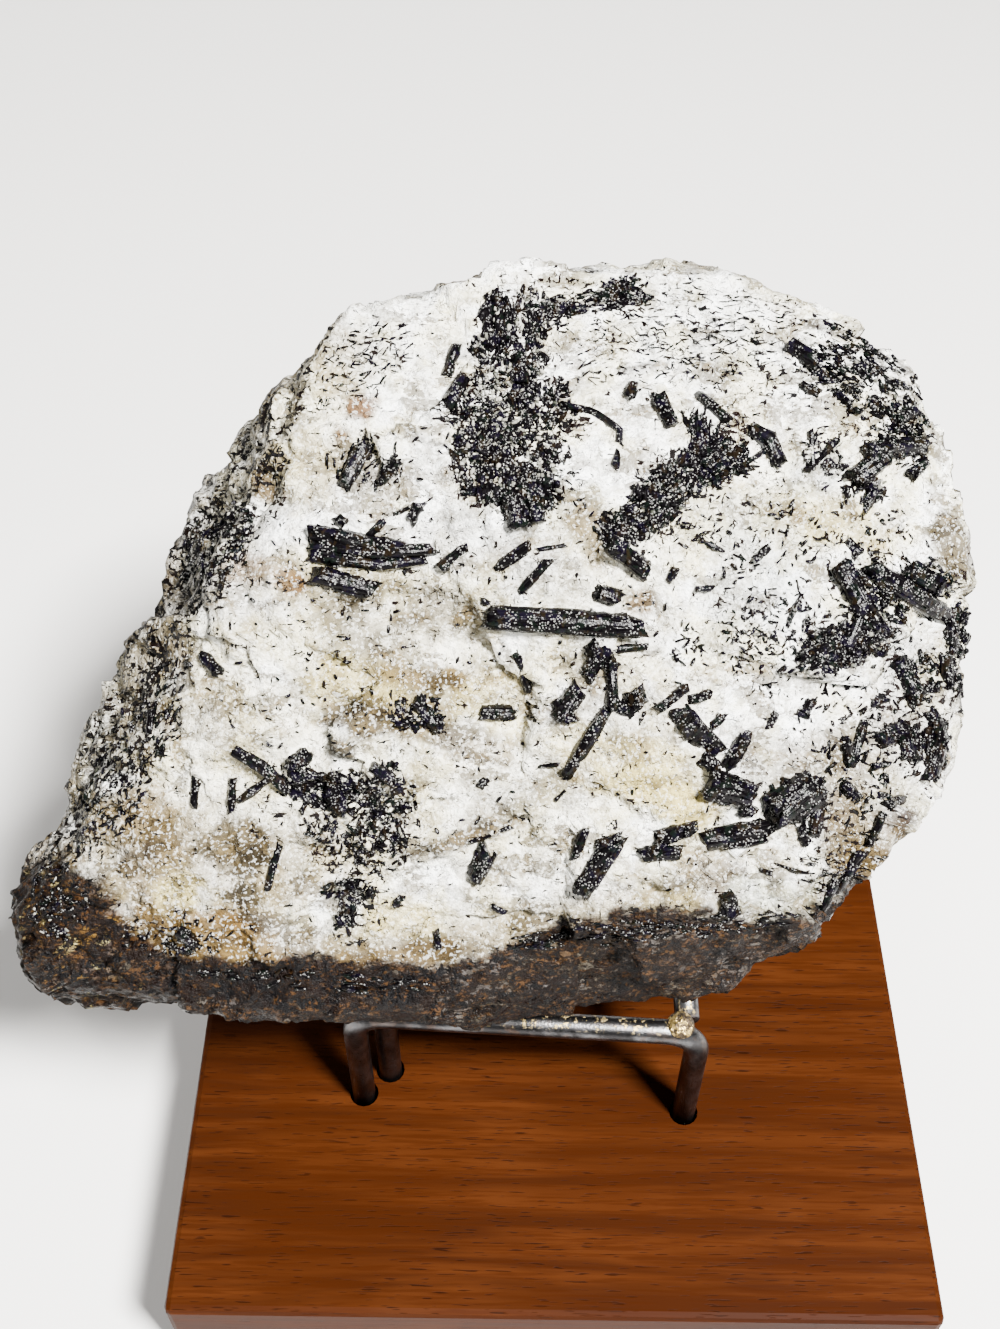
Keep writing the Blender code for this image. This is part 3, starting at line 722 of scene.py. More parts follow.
def colour_stone(piece, points, facing):
    """Stores the matrix's tint, its flecks and its place for the quartz material.

    The tint starts white, each patch mixes its colour in, lines of painted shade run along the ledges and
    cracks, and the sides and the back turn to brown, grey and dark by the way they face;
    the underside turns dark brown, partly its own colour and partly painted shade.
    """
    places = picture_place(points)
    wobble = 0.30 * waves(points, 6.0, 71) + 0.16 * waves(points, 1.9, 72)
    tint = np.tile(np.array(WHITE[:3]), (len(points), 1))
    flecks = np.full(len(points), 0.07)
    front = smooth(0.05, 0.3, facing[:, 2])

    def lay(share, colour):
        nonlocal tint
        tint = tint + share[:, None] * (np.array(colour[:3]) - tint)

    for x, y, half_width, half_height, turn, strength, colour in PATCHES:
        share = patch_share(places, wobble, x, y, half_width, half_height, turn)
        lay(share * min(PATCH_BOOST * strength, PATCH_MOST) * front, colour)
    broken = smooth(-0.9, 0.2, waves(points, 2.6, 73))
    for pixels, width in SHADE_LINES:
        distance, _ = line_distance(places, pixels)
        # brown painted shade along the ledges and cracks, broken in places
        lay(smooth(1.2 * width + 1.5, 0.6 * width, distance) * broken * 0.75 * front, ink(104, 84, 56))
    for x, y, half_width, half_height, turn, amount in FLECK_PATCHES:
        share = patch_share(places, wobble, x, y, half_width, half_height, turn) * front
        flecks = np.maximum(flecks, amount * share)
    left = smooth(-0.34, -0.56, facing[:, 0] + 0.10 * wobble) * front
    lay(left * 0.55, GREY)
    lay(left * smooth(-0.1, 0.8, waves(points, 7.0, 88)) * 0.5, TAN)
    flecks = np.maximum(flecks, left * (0.68 + 0.26 * waves(points, 5.0, 89)))
    side = smooth(0.42, 0.12, facing[:, 2] + 0.08 * wobble)
    lay(side * 0.55, GREY)
    lay(side * smooth(-0.2, 0.8, waves(points, 11.0, 81)) * 0.7, TAN)
    lay(side * smooth(0.3, 1.2, waves(points, 8.0, 82)) * 0.7, BROWN)
    flecks = np.maximum(flecks, side * (0.42 + 0.25 * waves(points, 9.0, 83)))
    # the underside: dark brown, partly its own brown rind and partly painted shade, darkest in the band
    # along the bottom
    line = np.array(UNDERSIDE_LINE, float)
    below_line = places[1] - np.interp(places[0], line[:, 0], line[:, 1])
    seen_under = smooth(-7.0, 5.0, below_line + 16.0 * wobble) * smooth(-14.0, -9.0, points[:, 2])
    downward = -(facing @ AXES[:, 2])
    under = np.maximum(seen_under, smooth(0.35, 0.6, downward + 0.12 * wobble))
    lay(under * 0.95, ink(84, 64, 42))
    lay(under * smooth(0.1, 0.9, waves(points, 7.0, 84)) * 0.6, UMBER)
    band = patch_share(places, wobble, 310, 985, 190, 27, -1) * under
    lay(band * 0.75, UMBER)
    flecks = np.maximum(flecks * (1.0 - under), under * (0.58 + 0.22 * waves(points, 7.0, 85)))
    flecks = np.maximum(flecks, band * 0.92)
    rim = smooth(-46.0, -8.0, below_line + 24.0 * wobble) * (1.0 - under) * front
    lay(rim * 0.55, TAN)
    tip = patch_share(places, wobble, 62, 940, 60, 78, 0)
    lay(tip * 0.55, BROWN)
    lay(tip * smooth(0.2, 0.7, waves(points, 3.0, 86)) * 0.8, OCHRE)
    lay(tip * smooth(0.5, 0.9, waves(points, 2.4, 87)) * 0.8, CREAM)
    flecks = np.maximum(flecks, tip * 0.66)
    # stain on the tip and the sides, and on the underside stain and painted shade together
    stain_and_shade = np.maximum(np.maximum(under, tip * 0.7), side * 0.5)
    give(piece, "stain_and_shade", stain_and_shade)
    give(piece, "tint", tint)
    give(piece, "flecks", np.clip(flecks, 0.0, 1.0))
    give(piece, "place", points)


def build_stone():
    """The matrix: a closed grid pressed onto the stone's surface, with the fine relief on top."""
    long_axis, directions = stone_directions()
    points = directions * stone_radius(directions)[:, None]

    def faced(surface):
        grid = surface.reshape(RINGS, RING_POINTS, 3)
        round_way = np.roll(grid, -1, axis=1) - np.roll(grid, 1, axis=1)
        normal = unit_rows(np.cross(round_way, np.gradient(grid, axis=0)).reshape(-1, 3))
        return normal * np.sign((normal * directions).sum(axis=1))[:, None]

    plain_facing = faced(directions * plain_radius(directions)[:, None])
    facing = unit_rows(faced(points) + plain_facing)
    points = points + facing * fine_relief(points)[:, None]
    ends = np.array([long_axis, -long_axis])
    verts = np.concatenate([points, ends * stone_radius(ends)[:, None]])
    quads = tube_faces(RINGS, RING_POINTS)
    caps = cap_faces(RINGS, RING_POINTS)
    piece = mesh_object("stone", to_world(verts), [quads, caps])
    colour_stone(piece, verts, np.concatenate([facing, ends]))
    surface = BVHTree.FromPolygons(verts.tolist(), quads.tolist())
    return piece, surface


def paint_quartz():
    """White and cream broken grains with grey clear ones, tan seams, painted glints and crisp black flecks.

    Where the stored stain and shade is, brown flakes between dark cracks take the place of the clean grains:
    real stain on the tip and the sides, partly painted shade on the underside.
    """
    paint = Paint("quartz")
    place = paint.stored("place")
    flecks = paint.stored("flecks", 2)
    clean = 1.0 - paint.stored("stain_and_shade", 2)
    colour = paint.stored("tint")
    cream = paint.noise(place, 0.22, 4.0).between(0.46, 0.58)
    colour = paint.mix(cream * 0.55, colour, CREAM, "MULTIPLY")
    big_cells = paint.cell_number(place, 0.42)
    colour = paint.mix(big_cells.between(0.5, 1.0) * 0.40, colour, ink(206, 200, 184), "MULTIPLY")
    clear_place = paint.stretched(place, (0.8, 1.4, 1.0))
    clear = paint.noise(clear_place, 0.32, 5.0, 0.62).between(0.520, 0.535)
    clear = clear * paint.noise(place, 0.16, 1.0).between(0.40, 0.56)
    colour = paint.mix(clear * 0.80, colour, ink(182, 172, 150), "MULTIPLY")
    shade = paint.cell_number(paint.stretched(place, (1.0, 1.25, 1.0)), 1.25).between(0.35, 1.0)
    colour = paint.mix(shade * 0.42, colour, ink(212, 204, 184), "MULTIPLY")
    shift = paint.node("TexNoise", {}, {"Vector": place, "Scale": 1.3, "Detail": 2.0}, 1)
    bent_place = paint.node("VectorMath", {"operation": "MULTIPLY_ADD"},
                            {0: shift, 1: (1.6, 1.6, 1.6), 2: place})
    vein = paint.cells(paint.stretched(bent_place, (0.8, 1.5, 1.0)), 0.24, "DISTANCE_TO_EDGE")
    vein = vein.between(0.07, 0.0) * paint.noise(place, 0.30, 1.0).between(0.48, 0.60)
    colour = paint.mix(vein * 0.62 * clean, colour, TAN)
    seam = paint.cells(bent_place, 0.95, "DISTANCE_TO_EDGE").between(0.045, 0.005)
    seam = seam * paint.noise(place, 0.5).between(0.46, 0.56)
    colour = paint.mix(seam * 0.85 * clean, colour, ink(104, 92, 74))
    fine = paint.noise(place, 3.0, 3.0, 0.7).between(0.54, 0.60)
    colour = paint.mix(fine * 0.42 * clean, colour, ink(138, 126, 100))
    # painted glints: small bright spots of painted highlight on the clean grains
    painted_glint = paint.noise(place, 2.9, 2.0).between(0.56, 0.60)
    colour = paint.mix(painted_glint * 0.34 * clean, colour, ink(232, 232, 228))
    stain_shade_share = 1.0 - clean
    # brown flakes, dark patches and dark cracks: stain on the tip and sides, and on the underside partly
    # painted shade
    flake_place = paint.stretched(bent_place, (0.7, 1.5, 1.0))
    flake = paint.cell_number(flake_place, 0.95)
    colour = paint.mix(flake.between(0.45, 0.75) * stain_shade_share * 0.85, colour, ink(134, 108, 76))
    dull = paint.noise(paint.stretched(place, (0.6, 1.4, 1.0)), 1.1, 4.0, 0.7).between(0.47, 0.50)
    colour = paint.mix(dull * stain_shade_share * 0.92, colour, ink(18, 14, 10))
    crack = paint.cells(flake_place, 0.95, "DISTANCE_TO_EDGE").between(0.14, 0.07)
    colour = paint.mix(crack * stain_shade_share * 0.9, colour, ink(16, 12, 9))
    dusty = paint.noise(paint.stretched(place, (0.8, 1.6, 1.0)), 2.2, 3.0, 0.7).between(0.56, 0.61)
    colour = paint.mix(dusty * stain_shade_share * 0.45, colour, ink(150, 124, 88))
    long_flecks = paint.noise(paint.stretched(place, (1.0, 2.0, 1.0)), 1.15, 3.0, 0.6, 0.5)
    cross_flecks = paint.noise(paint.stretched(place, (2.2, 1.0, 1.0)), 1.25, 3.0, 0.6, 0.5)
    limit = 0.650 - 0.165 * flecks
    black = (long_flecks.larger(cross_flecks - 0.020) - limit).between(0.0, 0.008)
    brown = paint.noise(place, 0.7).between(0.45, 0.60)
    fleck_colour = paint.mix(brown * 0.6, BLACK, UMBER)
    colour = paint.mix(black, colour, fleck_colour)
    rough = 0.58 - 0.25 * clear - 0.15 * black
    height = paint.noise(place, 0.9, 3.0) * 0.5 + paint.noise(place, 2.2, 4.0, 0.65) * 0.35
    normal = paint.bump(height, 0.95, 1.0)
    paint.shader.inputs["Specular IOR Level"].default_value = 0.08
    return paint.finish(Base_Color=colour, Roughness=rough, Normal=normal)


# Crystals: places looked up along a line, and grids as (rings, points round)
CRYSTAL_SEED = 100
PATH_LOOKS = 9
BIG_GRID = (22, 14)
MIDDLE_GRID = (14, 10)
SLIVER_GRID = (9, 7)
NEEDLE_GRID = (3, 5)

# Form of a prism, in shares of its radius: ends, chips, ribs and how uneven it is along its length
SECTION_POWER = 12
END_SIZE = 0.62
CHIP_DEPTH = 0.30
CHIP_ABOVE = 0.965
RIB_HEIGHT = 0.065
RIB_ROUGHNESS = 0.045
END_SLANT = 0.45
END_BREAK = 0.16
UNEVEN_THICK = 0.05
UNEVEN_THIN = 0.13

# Widths in pixels over which a crystal has the big grid and thinner prisms, one for each SLIVER_EVERY
THICK_WIDTH = 12
PLAIN_WIDTH = 6
SLIVER_EVERY = 4.0
MAIN_SLIMNESS = 0.86

# Form of a needle: crowding towards a felt's middle, its rings, and what is smaller on a pale one
NEEDLE_CROWDING = 0.55
NEEDLE_RINGS = (-0.5, 0.1, 0.5)
NEEDLE_SWELL = (0.75, 1.0, 0.6)
NEEDLE_JITTER = 0.25
PALE_LENGTH = 0.45
PALE_WIDTH = 0.75


def resting(x, y):
    """Point and normal of the stone seen at a pixel of the photograph, in the leaning frame."""
    way = Vector(((x - PICTURE[0] / 2) * PIXEL, (PICTURE[1] / 2 - y) * PIXEL, -VIEW_DISTANCE))
    hit = SURFACE.ray_cast(Vector((0.0, 0.0, VIEW_DISTANCE)), way)
    return hit[0], hit[1]


def crystal_path(pixels, shares):
    """Middle line of a crystal through pixels, laid evenly on the stone by a fitted curve.

    The stone is found at a few places of the line; the line's depth is a straight or, for more than
    two pixels, a bent fit to them, so a crystal bridges the small dips.
    """
    pixels = np.array(pixels, float)
    step = np.concatenate([[0.0], np.cumsum(np.hypot(*np.diff(pixels, axis=0).T))])
    whole = np.linspace(0.0, 1.0, PATH_LOOKS)
    found = []
    facing = np.array([0.0, 0.0, 2.0])
    for t in whole:
        x = np.interp(t * step[-1], step, pixels[:, 0])
        y = np.interp(t * step[-1], step, pixels[:, 1])
        point, normal = resting(x, y)
        if point is not None:
            found.append((t, point.z))
            facing = facing + np.array(normal)
    found = np.array(found)
    depth = np.polyval(np.polyfit(found[:, 0], found[:, 1], min(len(pixels) - 1, 3)), shares)
    x = np.interp(shares * step[-1], step, pixels[:, 0])
    y = np.interp(shares * step[-1], step, pixels[:, 1])
    sight = np.stack([(x - PICTURE[0] / 2) * PIXEL, (PICTURE[1] / 2 - y) * PIXEL], axis=1)
    flat = sight * (1.0 - depth / VIEW_DISTANCE)[:, None]
    return np.column_stack([flat, depth]), unit(facing)


def crystal_form(pixels, width, draw, grid_size, span=(0.0, 1.0), offset=(0.0, 0.2), slimness=1.0):
    """Grid of one striated prism: a rounded many-sided section carried along its middle line.

    The section's radius is a high power mean over its sides, ribbed along the length and chipped;
    the ends are broken off aslant, and each end has a smaller ring and a pole. The offset moves it
    sideways and outward from the middle line, in widths, and the span is its part of the line.
    """
    rings, around = grid_size
    line, facing = crystal_path(pixels, np.linspace(*span, rings - 2))
    width = width * VIEW_DISTANCE / FOCAL_PIXELS
    line = np.concatenate([line[:1], line, line[-1:]])
    way = np.gradient(line, axis=0)
    way[0] = way[1]
    way[-1] = way[-2]
    way = unit_rows(way)
    side = unit_rows(np.cross(facing[None, :], way))
    top = np.cross(way, side)
    line = line + width * (offset[0] * side + offset[1] * top)
    width = width * slimness
    v = np.arange(around) / around * TURN
    sides = draw.integers(4, 7)
    corners = np.arange(sides) / sides * TURN + draw.uniform(0.0, TURN)
    reach = (np.maximum(np.cos(v[:, None] - corners), 0.0) ** SECTION_POWER).sum(axis=1)
    section = reach ** (-1.0 / SECTION_POWER)
    u = np.linspace(0.0, 1.0, rings)
    uneven = UNEVEN_THICK if grid_size == BIG_GRID or len(pixels) > 3 else UNEVEN_THIN
    size = 1.0 + draw.normal(0.0, 1.6 * uneven) * u
    size = size + uneven * np.sin(u * draw.uniform(4.0, 14.0) + draw.uniform(0.0, TURN))
    size[[0, -1]] *= END_SIZE
    ribs = draw.normal(0.0, RIB_HEIGHT, around)[None, :]
    ribs = ribs + draw.normal(0.0, RIB_ROUGHNESS, (rings, around))
    chips = CHIP_DEPTH * (draw.uniform(size=(rings, around)) > CHIP_ABOVE)
    radius = 0.5 * width * size[:, None] * (section[None, :] + ribs - chips)
    grid = (line[:, None, :] + (np.cos(v)[None, :] * radius)[..., None] * side[:, None, :]
            + (np.sin(v)[None, :] * radius)[..., None] * top[:, None, :])
    slant = draw.normal(0.0, END_SLANT, (2, 2))
    for end, places in enumerate(((0, 1), (rings - 2, rings - 1))):
        lean = slant[end, 0] * np.cos(v) + slant[end, 1] * np.sin(v)
        lean = lean + draw.normal(0.0, END_BREAK, around)
        for place in places:
            grid[place] += (lean * radius[place])[:, None] * way[place]
    poles = np.stack([grid[0].mean(axis=0), grid[-1].mean(axis=0)])
    length = np.linalg.norm(np.diff(line, axis=0), axis=1).sum()
    grain = np.stack(np.broadcast_arrays(u[:, None] * length, v[None, :] * width / 2,
                                         draw.uniform(0.0, 90.0)), axis=-1).reshape(-1, 3)
    grain = np.concatenate([grain, grain[[0, -1]]])
    return np.concatenate([grid.reshape(-1, 3), poles]), grain, grid_size


def crystal(pixels, width, draw):
    """Forms of one crystal: a main prism, and for a thick one thinner prisms fused to its sides."""
    grid_size = BIG_GRID if width > THICK_WIDTH else MIDDLE_GRID
    forms = [crystal_form(pixels, width, draw, grid_size, slimness=MAIN_SLIMNESS)]
    for _ in range(int(round(width / SLIVER_EVERY)) if width > PLAIN_WIDTH else 0):
        start = draw.uniform(-0.03, 0.5)
        span = (start, min(start + draw.uniform(0.3, 0.9), 1.03))
        angle = draw.uniform(-0.3, math.pi + 0.3)
        offset = (0.36 * math.cos(angle), 0.2 + 0.30 * math.sin(angle))
        slimness = draw.uniform(0.24, 0.46)
        forms.append(crystal_form(pixels, width, draw, SLIVER_GRID, span, offset, slimness))
    return forms


def many(name, forms, shades):
    """One piece of many closed grids; shade is a number for each grid."""
    first = 0
    quads = []
    caps = []
    for verts, _, (rings, points) in forms:
        quads.append(first + tube_faces(rings, points))
        caps.append(first + cap_faces(rings, points))
        first += len(verts)
    verts = np.concatenate([form[0] for form in forms])
    piece = mesh_object(name, to_world(verts), [np.concatenate(quads), np.concatenate(caps)])
    give(piece, "grain", np.concatenate([form[1] for form in forms]))
    give(piece, "shade", np.repeat(shades, [len(form[0]) for form in forms]))
    give(piece, "place", verts)
    return piece


# Single crystals in pixels of the photograph: (pixels of the middle line, width)
PRISMS = {
    "prism_middle": [([(487, 617), (633, 626)], 23)],
    "prism_lower": [([(608, 709), (590, 738), (567, 773)], 12)],
    "bundle_centre": [([(606, 650), (588, 678)], 15), ([(580, 690), (560, 722)], 17),
                      ([(600, 655), (622, 648), (646, 646)], 8), ([(612, 668), (614, 706)], 11),
                      ([(604, 662), (618, 668)], 14), ([(636, 690), (640, 706)], 18),
                      ([(618, 706), (634, 712)], 14)],
    "stub_right": [([(679, 714), (712, 749)], 23)],
    "stub_small": [([(745, 735), (728, 766)], 14)],
    "lozenge": [([(706, 782), (747, 795)], 29)],
    "block_dark": [([(766, 815), (812, 783)], 34)],
    "prism_low_right": [([(703, 840), (762, 830)], 22)],
    "prism_low_left": [([(655, 836), (691, 828)], 15)],
    "prism_low_left_under": [([(641, 855), (681, 852)], 14)],
    "prism_lower_middle": [([(614, 840), (600, 862), (580, 892)], 18)],
    "stub_low": [([(488, 847), (475, 875)], 19)],
    "prism_left": [([(235, 750), (262, 766), (288, 787)], 13)],
    "block_left": [([(288, 763), (305, 758)], 15)],
    "bundle_left": [([(309, 532), (350, 540), (396, 548)], 16), ([(312, 545), (372, 552), (430, 550)], 13),
                    ([(330, 560), (380, 565), (425, 560)], 12), ([(310, 556), (350, 562)], 14),
                    ([(320, 528), (372, 545)], 9), ([(352, 553), (428, 546)], 6)],
    "blade_left": [([(314, 575), (372, 590)], 18)],
    "prism_tip": [([(608, 543), (645, 571)], 18)],
    "cluster_right": [([(838, 565), (850, 588), (862, 612)], 21), ([(846, 650), (866, 600)], 10)],
    "ridge_right": [([(868, 566), (905, 592), (945, 617)], 19)],
    "blade_upper_right": [([(866, 454), (922, 446)], 18)],
    "prism_upper_edge": [([(788, 346), (815, 364)], 17)],
    "prism_right_edge": [([(893, 662), (914, 700)], 20)],
    "prism_right_low": [([(900, 728), (908, 760)], 16)],
}

# Small crystals that the solid leaves out: (pixels of the middle line, width)
SMALL_PRISMS = [
    ([(447, 376), (457, 345)], 10), ([(447, 406), (465, 377)], 13), ([(628, 398), (634, 386)], 11),
    ([(658, 397), (672, 428)], 14), ([(563, 405), (595, 412), (620, 430), (616, 467)], 8),
    ([(700, 398), (716, 410), (727, 422)], 9), ([(750, 430), (768, 440), (778, 465)], 14),
    ([(801, 385), (818, 396)], 11), ([(894, 421), (912, 411)], 13), ([(850, 480), (885, 455)], 22),
    ([(862, 510), (874, 490)], 12), ([(908, 478), (924, 461)], 14), ([(336, 517), (346, 524)], 8),
    ([(368, 537), (385, 521)], 7), ([(410, 521), (419, 504)], 10), ([(396, 514), (409, 508)], 5),
    ([(441, 569), (469, 548)], 11), ([(345, 488), (366, 446)], 16), ([(382, 482), (398, 460)], 12),
    ([(499, 566), (531, 546)], 11), ([(538, 550), (566, 545)], 5), ([(520, 592), (548, 560)], 8),
    ([(597, 592), (614, 597)], 16), ([(481, 600), (488, 602)], 7), ([(696, 589), (712, 588)], 6),
    ([(668, 581), (675, 567)], 8), ([(754, 560), (769, 547)], 8), ([(786, 628), (802, 594)], 6),
    ([(908, 572), (936, 587)], 21), ([(952, 612), (949, 646)], 14), ([(944, 655), (948, 686)], 13),
    ([(870, 704), (885, 700)], 10), ([(928, 712), (940, 742)], 15), ([(936, 745), (928, 778)], 17),
    ([(876, 742), (901, 728)], 17), ([(864, 722), (852, 764)], 9), ([(870, 768), (885, 764)], 8),
    ([(802, 716), (811, 702)], 9), ([(768, 728), (776, 712)], 8), ([(711, 726), (722, 714)], 9),
    ([(482, 712), (512, 712)], 14), ([(592, 650), (600, 646)], 14), ([(688, 699), (707, 694)], 9),
    ([(657, 710), (686, 688)], 9), ([(701, 758), (716, 766)], 13), ([(739, 806), (752, 812)], 13),
    ([(770, 800), (806, 812)], 20), ([(820, 790), (812, 836)], 12), ([(842, 782), (854, 796)], 11),
    ([(877, 797), (889, 798)], 10), ([(575, 858), (586, 828)], 10), ([(597, 846), (616, 838)], 12),
    ([(479, 788), (486, 781)], 8), ([(395, 904), (402, 896)], 9), ([(722, 914), (732, 893)], 9),
    ([(775, 864), (800, 872), (824, 876)], 4), ([(292, 765), (305, 752)], 14),
    ([(232, 812), (234, 778)], 8), ([(240, 800), (272, 776)], 9), ([(194, 805), (197, 780)], 8),
    ([(268, 888), (280, 844)], 7), ([(204, 654), (220, 672)], 11), ([(188, 662), (193, 666)], 7),
    ([(221, 590), (224, 574)], 6), ([(512, 500), (520, 528)], 20), ([(533, 500), (538, 524)], 12),
    ([(519, 358), (521, 384)], 15), ([(700, 446), (699, 418)], 8), ([(556, 700), (574, 722)], 12),
    ([(517, 655), (528, 690)], 8), ([(415, 700), (440, 728)], 12), ([(700, 540), (724, 552)], 6),
    ([(845, 540), (858, 556)], 9), ([(875, 575), (890, 600)], 14), ([(905, 590), (930, 606)], 13),
    ([(736, 470), (764, 452)], 6), ([(810, 430), (812, 470)], 6), ([(806, 470), (836, 440)], 7),
    ([(820, 466), (846, 466)], 6), ([(330, 790), (345, 812)], 16), ([(372, 766), (392, 780)], 12),
    ([(492, 905), (505, 912)], 6), ([(435, 930), (438, 948)], 8), ([(556, 800), (566, 790)], 4),
    ([(655, 852), (664, 842)], 12), ([(560, 764), (540, 766)], 4), ([(512, 826), (470, 842)], 5),
    ([(845, 742), (850, 764)], 10), ([(796, 712), (808, 718)], 7), ([(912, 728), (918, 762)], 10),
    ([(726, 892), (732, 912)], 15), ([(884, 812), (868, 846)], 9), ([(862, 850), (838, 888)], 11),
    ([(834, 880), (822, 908)], 9), ([(902, 800), (888, 806)], 9), ([(760, 870), (772, 874)], 6),
    ([(800, 828), (806, 842)], 11), ([(826, 770), (836, 762)], 5), ([(838, 640), (800, 660)], 12),
    ([(180, 930), (196, 944)], 14), ([(170, 944), (192, 952)], 8), ([(150, 735), (152, 712)], 7),
]

# Felts of fine needles in pixels of the photograph:
# (x, y, half width, half height, turn, needles, heading, spread, longest, widest, pale share)
FELTS = {
    "aggregate_top": [
        (506, 462, 54, 40, 0, 400, 70, 90, 14, 6, 0.54), (510, 455, 70, 54, 0, 130, 10, 90, 14, 4, 0.1),
        (505, 408, 42, 44, 0, 260, 80, 70, 14, 5, 0.60), (470, 425, 30, 22, 30, 60, 60, 70, 13, 4, 0.2),
        (540, 400, 30, 30, 0, 110, 80, 80, 14, 6, 0.25), (522, 495, 42, 22, 0, 160, -70, 50, 16, 7, 0.16),
        (497, 322, 17, 30, 0, 170, 85, 35, 16, 7, 0.15), (530, 318, 20, 34, 0, 120, 85, 40, 14, 5, 0.30),
        (485, 350, 16, 16, 0, 60, 85, 60, 12, 5, 0.20), (522, 358, 28, 22, 0, 120, 80, 60, 14, 5, 0.35),
        (590, 302, 58, 11, 5, 210, 8, 35, 15, 5, 0.22), (625, 292, 26, 14, 0, 120, 10, 60, 14, 5, 0.25),
        (550, 316, 22, 14, 0, 60, 20, 60, 12, 5, 0.25), (488, 440, 34, 30, 0, 110, 30, 90, 13, 6, 0.2),
    ],
    "aggregate_diagonal": [
        (704, 464, 36, 24, 30, 210, 40, 60, 15, 6, 0.2), (656, 500, 50, 24, 42, 340, 40, 55, 15, 6, 0.24),
        (733, 468, 22, 10, 10, 40, 8, 30, 20, 3.4, 0.0), (700, 430, 20, 22, 0, 26, 75, 30, 20, 3.4, 0.0),
        (622, 530, 24, 20, 0, 130, -30, 60, 14, 6, 0.18), (726, 458, 26, 14, 20, 80, 20, 60, 14, 5, 0.2),
        (700, 430, 10, 18, 0, 30, 80, 20, 16, 6, 0.1),
    ],
    "aggregate_left": [
        (345, 812, 44, 42, 0, 230, 30, 90, 12, 5, 0.3), (326, 790, 34, 18, 0, 110, -40, 60, 14, 5, 0.2),
        (392, 800, 24, 36, 0, 120, 60, 80, 12, 5, 0.28), (350, 890, 26, 12, 0, 80, 30, 60, 13, 5, 0.2),
        (346, 912, 9, 22, 0, 60, 80, 40, 13, 5, 0.1),
        (300, 783, 22, 12, 20, 50, -35, 30, 14, 6, 0.15), (375, 845, 34, 28, 0, 120, 30, 90, 13, 5, 0.25),
        (418, 712, 26, 18, 0, 90, 20, 80, 11, 5, 0.35),
    ],
    "speckled_right": [
        (848, 645, 46, 22, 15, 330, 20, 80, 13, 6, 0.2), (770, 640, 50, 46, 0, 130, 40, 90, 9, 4, 0.2),
        (872, 600, 40, 26, -40, 110, -40, 40, 15, 6, 0.2), (820, 660, 26, 16, 0, 70, 0, 80, 12, 5, 0.2),
        (962, 650, 12, 48, 0, 150, 85, 50, 13, 6, 0.25), (920, 680, 18, 26, 0, 70, 60, 60, 13, 6, 0.2),
        (935, 745, 13, 34, 0, 90, 80, 50, 13, 6, 0.2), (880, 405, 60, 26, -38, 150, -34, 30, 15, 6, 0.1),
        (825, 452, 24, 26, 0, 60, 60, 80, 14, 4, 0.2), (866, 485, 22, 24, 0, 90, 50, 50, 14, 6, 0.2),
        (835, 365, 36, 22, -20, 90, -25, 30, 14, 5, 0.2), (872, 358, 66, 13, -34, 90, -34, 24, 15, 5, 0.1),
        (905, 445, 26, 20, 0, 60, 10, 50, 14, 5, 0.2),
        (930, 580, 24, 16, -20, 90, -20, 60, 13, 6, 0.2), (690, 645, 18, 22, 0, 40, 30, 90, 11, 4, 0.3),
        (700, 530, 30, 20, 0, 46, 10, 60, 10, 3, 0.3), (795, 800, 28, 22, 0, 90, 30, 90, 12, 6, 0.1),
    ],
    "scattered_needles": [
        (740, 335, 110, 46, -10, 240, -8, 28, 12, 2.4, 0.1), (640, 350, 90, 40, 0, 120, 0, 50, 11, 2.6, 0.1),
        (370, 355, 50, 30, 30, 90, 30, 60, 11, 3, 0.1), (365, 465, 40, 30, 0, 60, 60, 50, 12, 4, 0.1),
        (215, 545, 28, 50, -35, 260, 50, 50, 12, 5, 0.3), (590, 620, 330, 260, 0, 280, 20, 90, 8, 3.6, 0.1),
        (300, 640, 110, 120, 0, 90, 40, 90, 8, 3.4, 0.1), (830, 580, 110, 100, 0, 250, 20, 90, 10, 4, 0.1),
        (855, 750, 66, 76, 0, 190, 40, 90, 11, 4, 0.1), (840, 870, 50, 24, 10, 80, 0, 30, 12, 3, 0.2),
        (720, 925, 100, 10, 6, 70, 4, 24, 14, 3.4, 0.0), (130, 760, 30, 110, -24, 330, 60, 50, 11, 4.4, 0.3),
        (60, 900, 30, 40, 0, 90, 30, 90, 10, 5, 0.2), (310, 980, 120, 10, -3, 40, 0, 26, 15, 5, 0.0),
        (600, 935, 100, 12, 6, 90, 2, 22, 14, 3.4, 0.0), (180, 935, 60, 26, 0, 60, 20, 90, 10, 4, 0.2),
    ],
}


def clump(x, y):
    """Uneven density of a felt from 0 to 1: two bent waves across each other."""
    wave = math.sin(x / 7.0 + 2.0 * math.sin(y / 11.0)) * math.sin(y / 6.0 + 2.0 * math.sin(x / 13.0))
    return 0.5 + 0.5 * wave


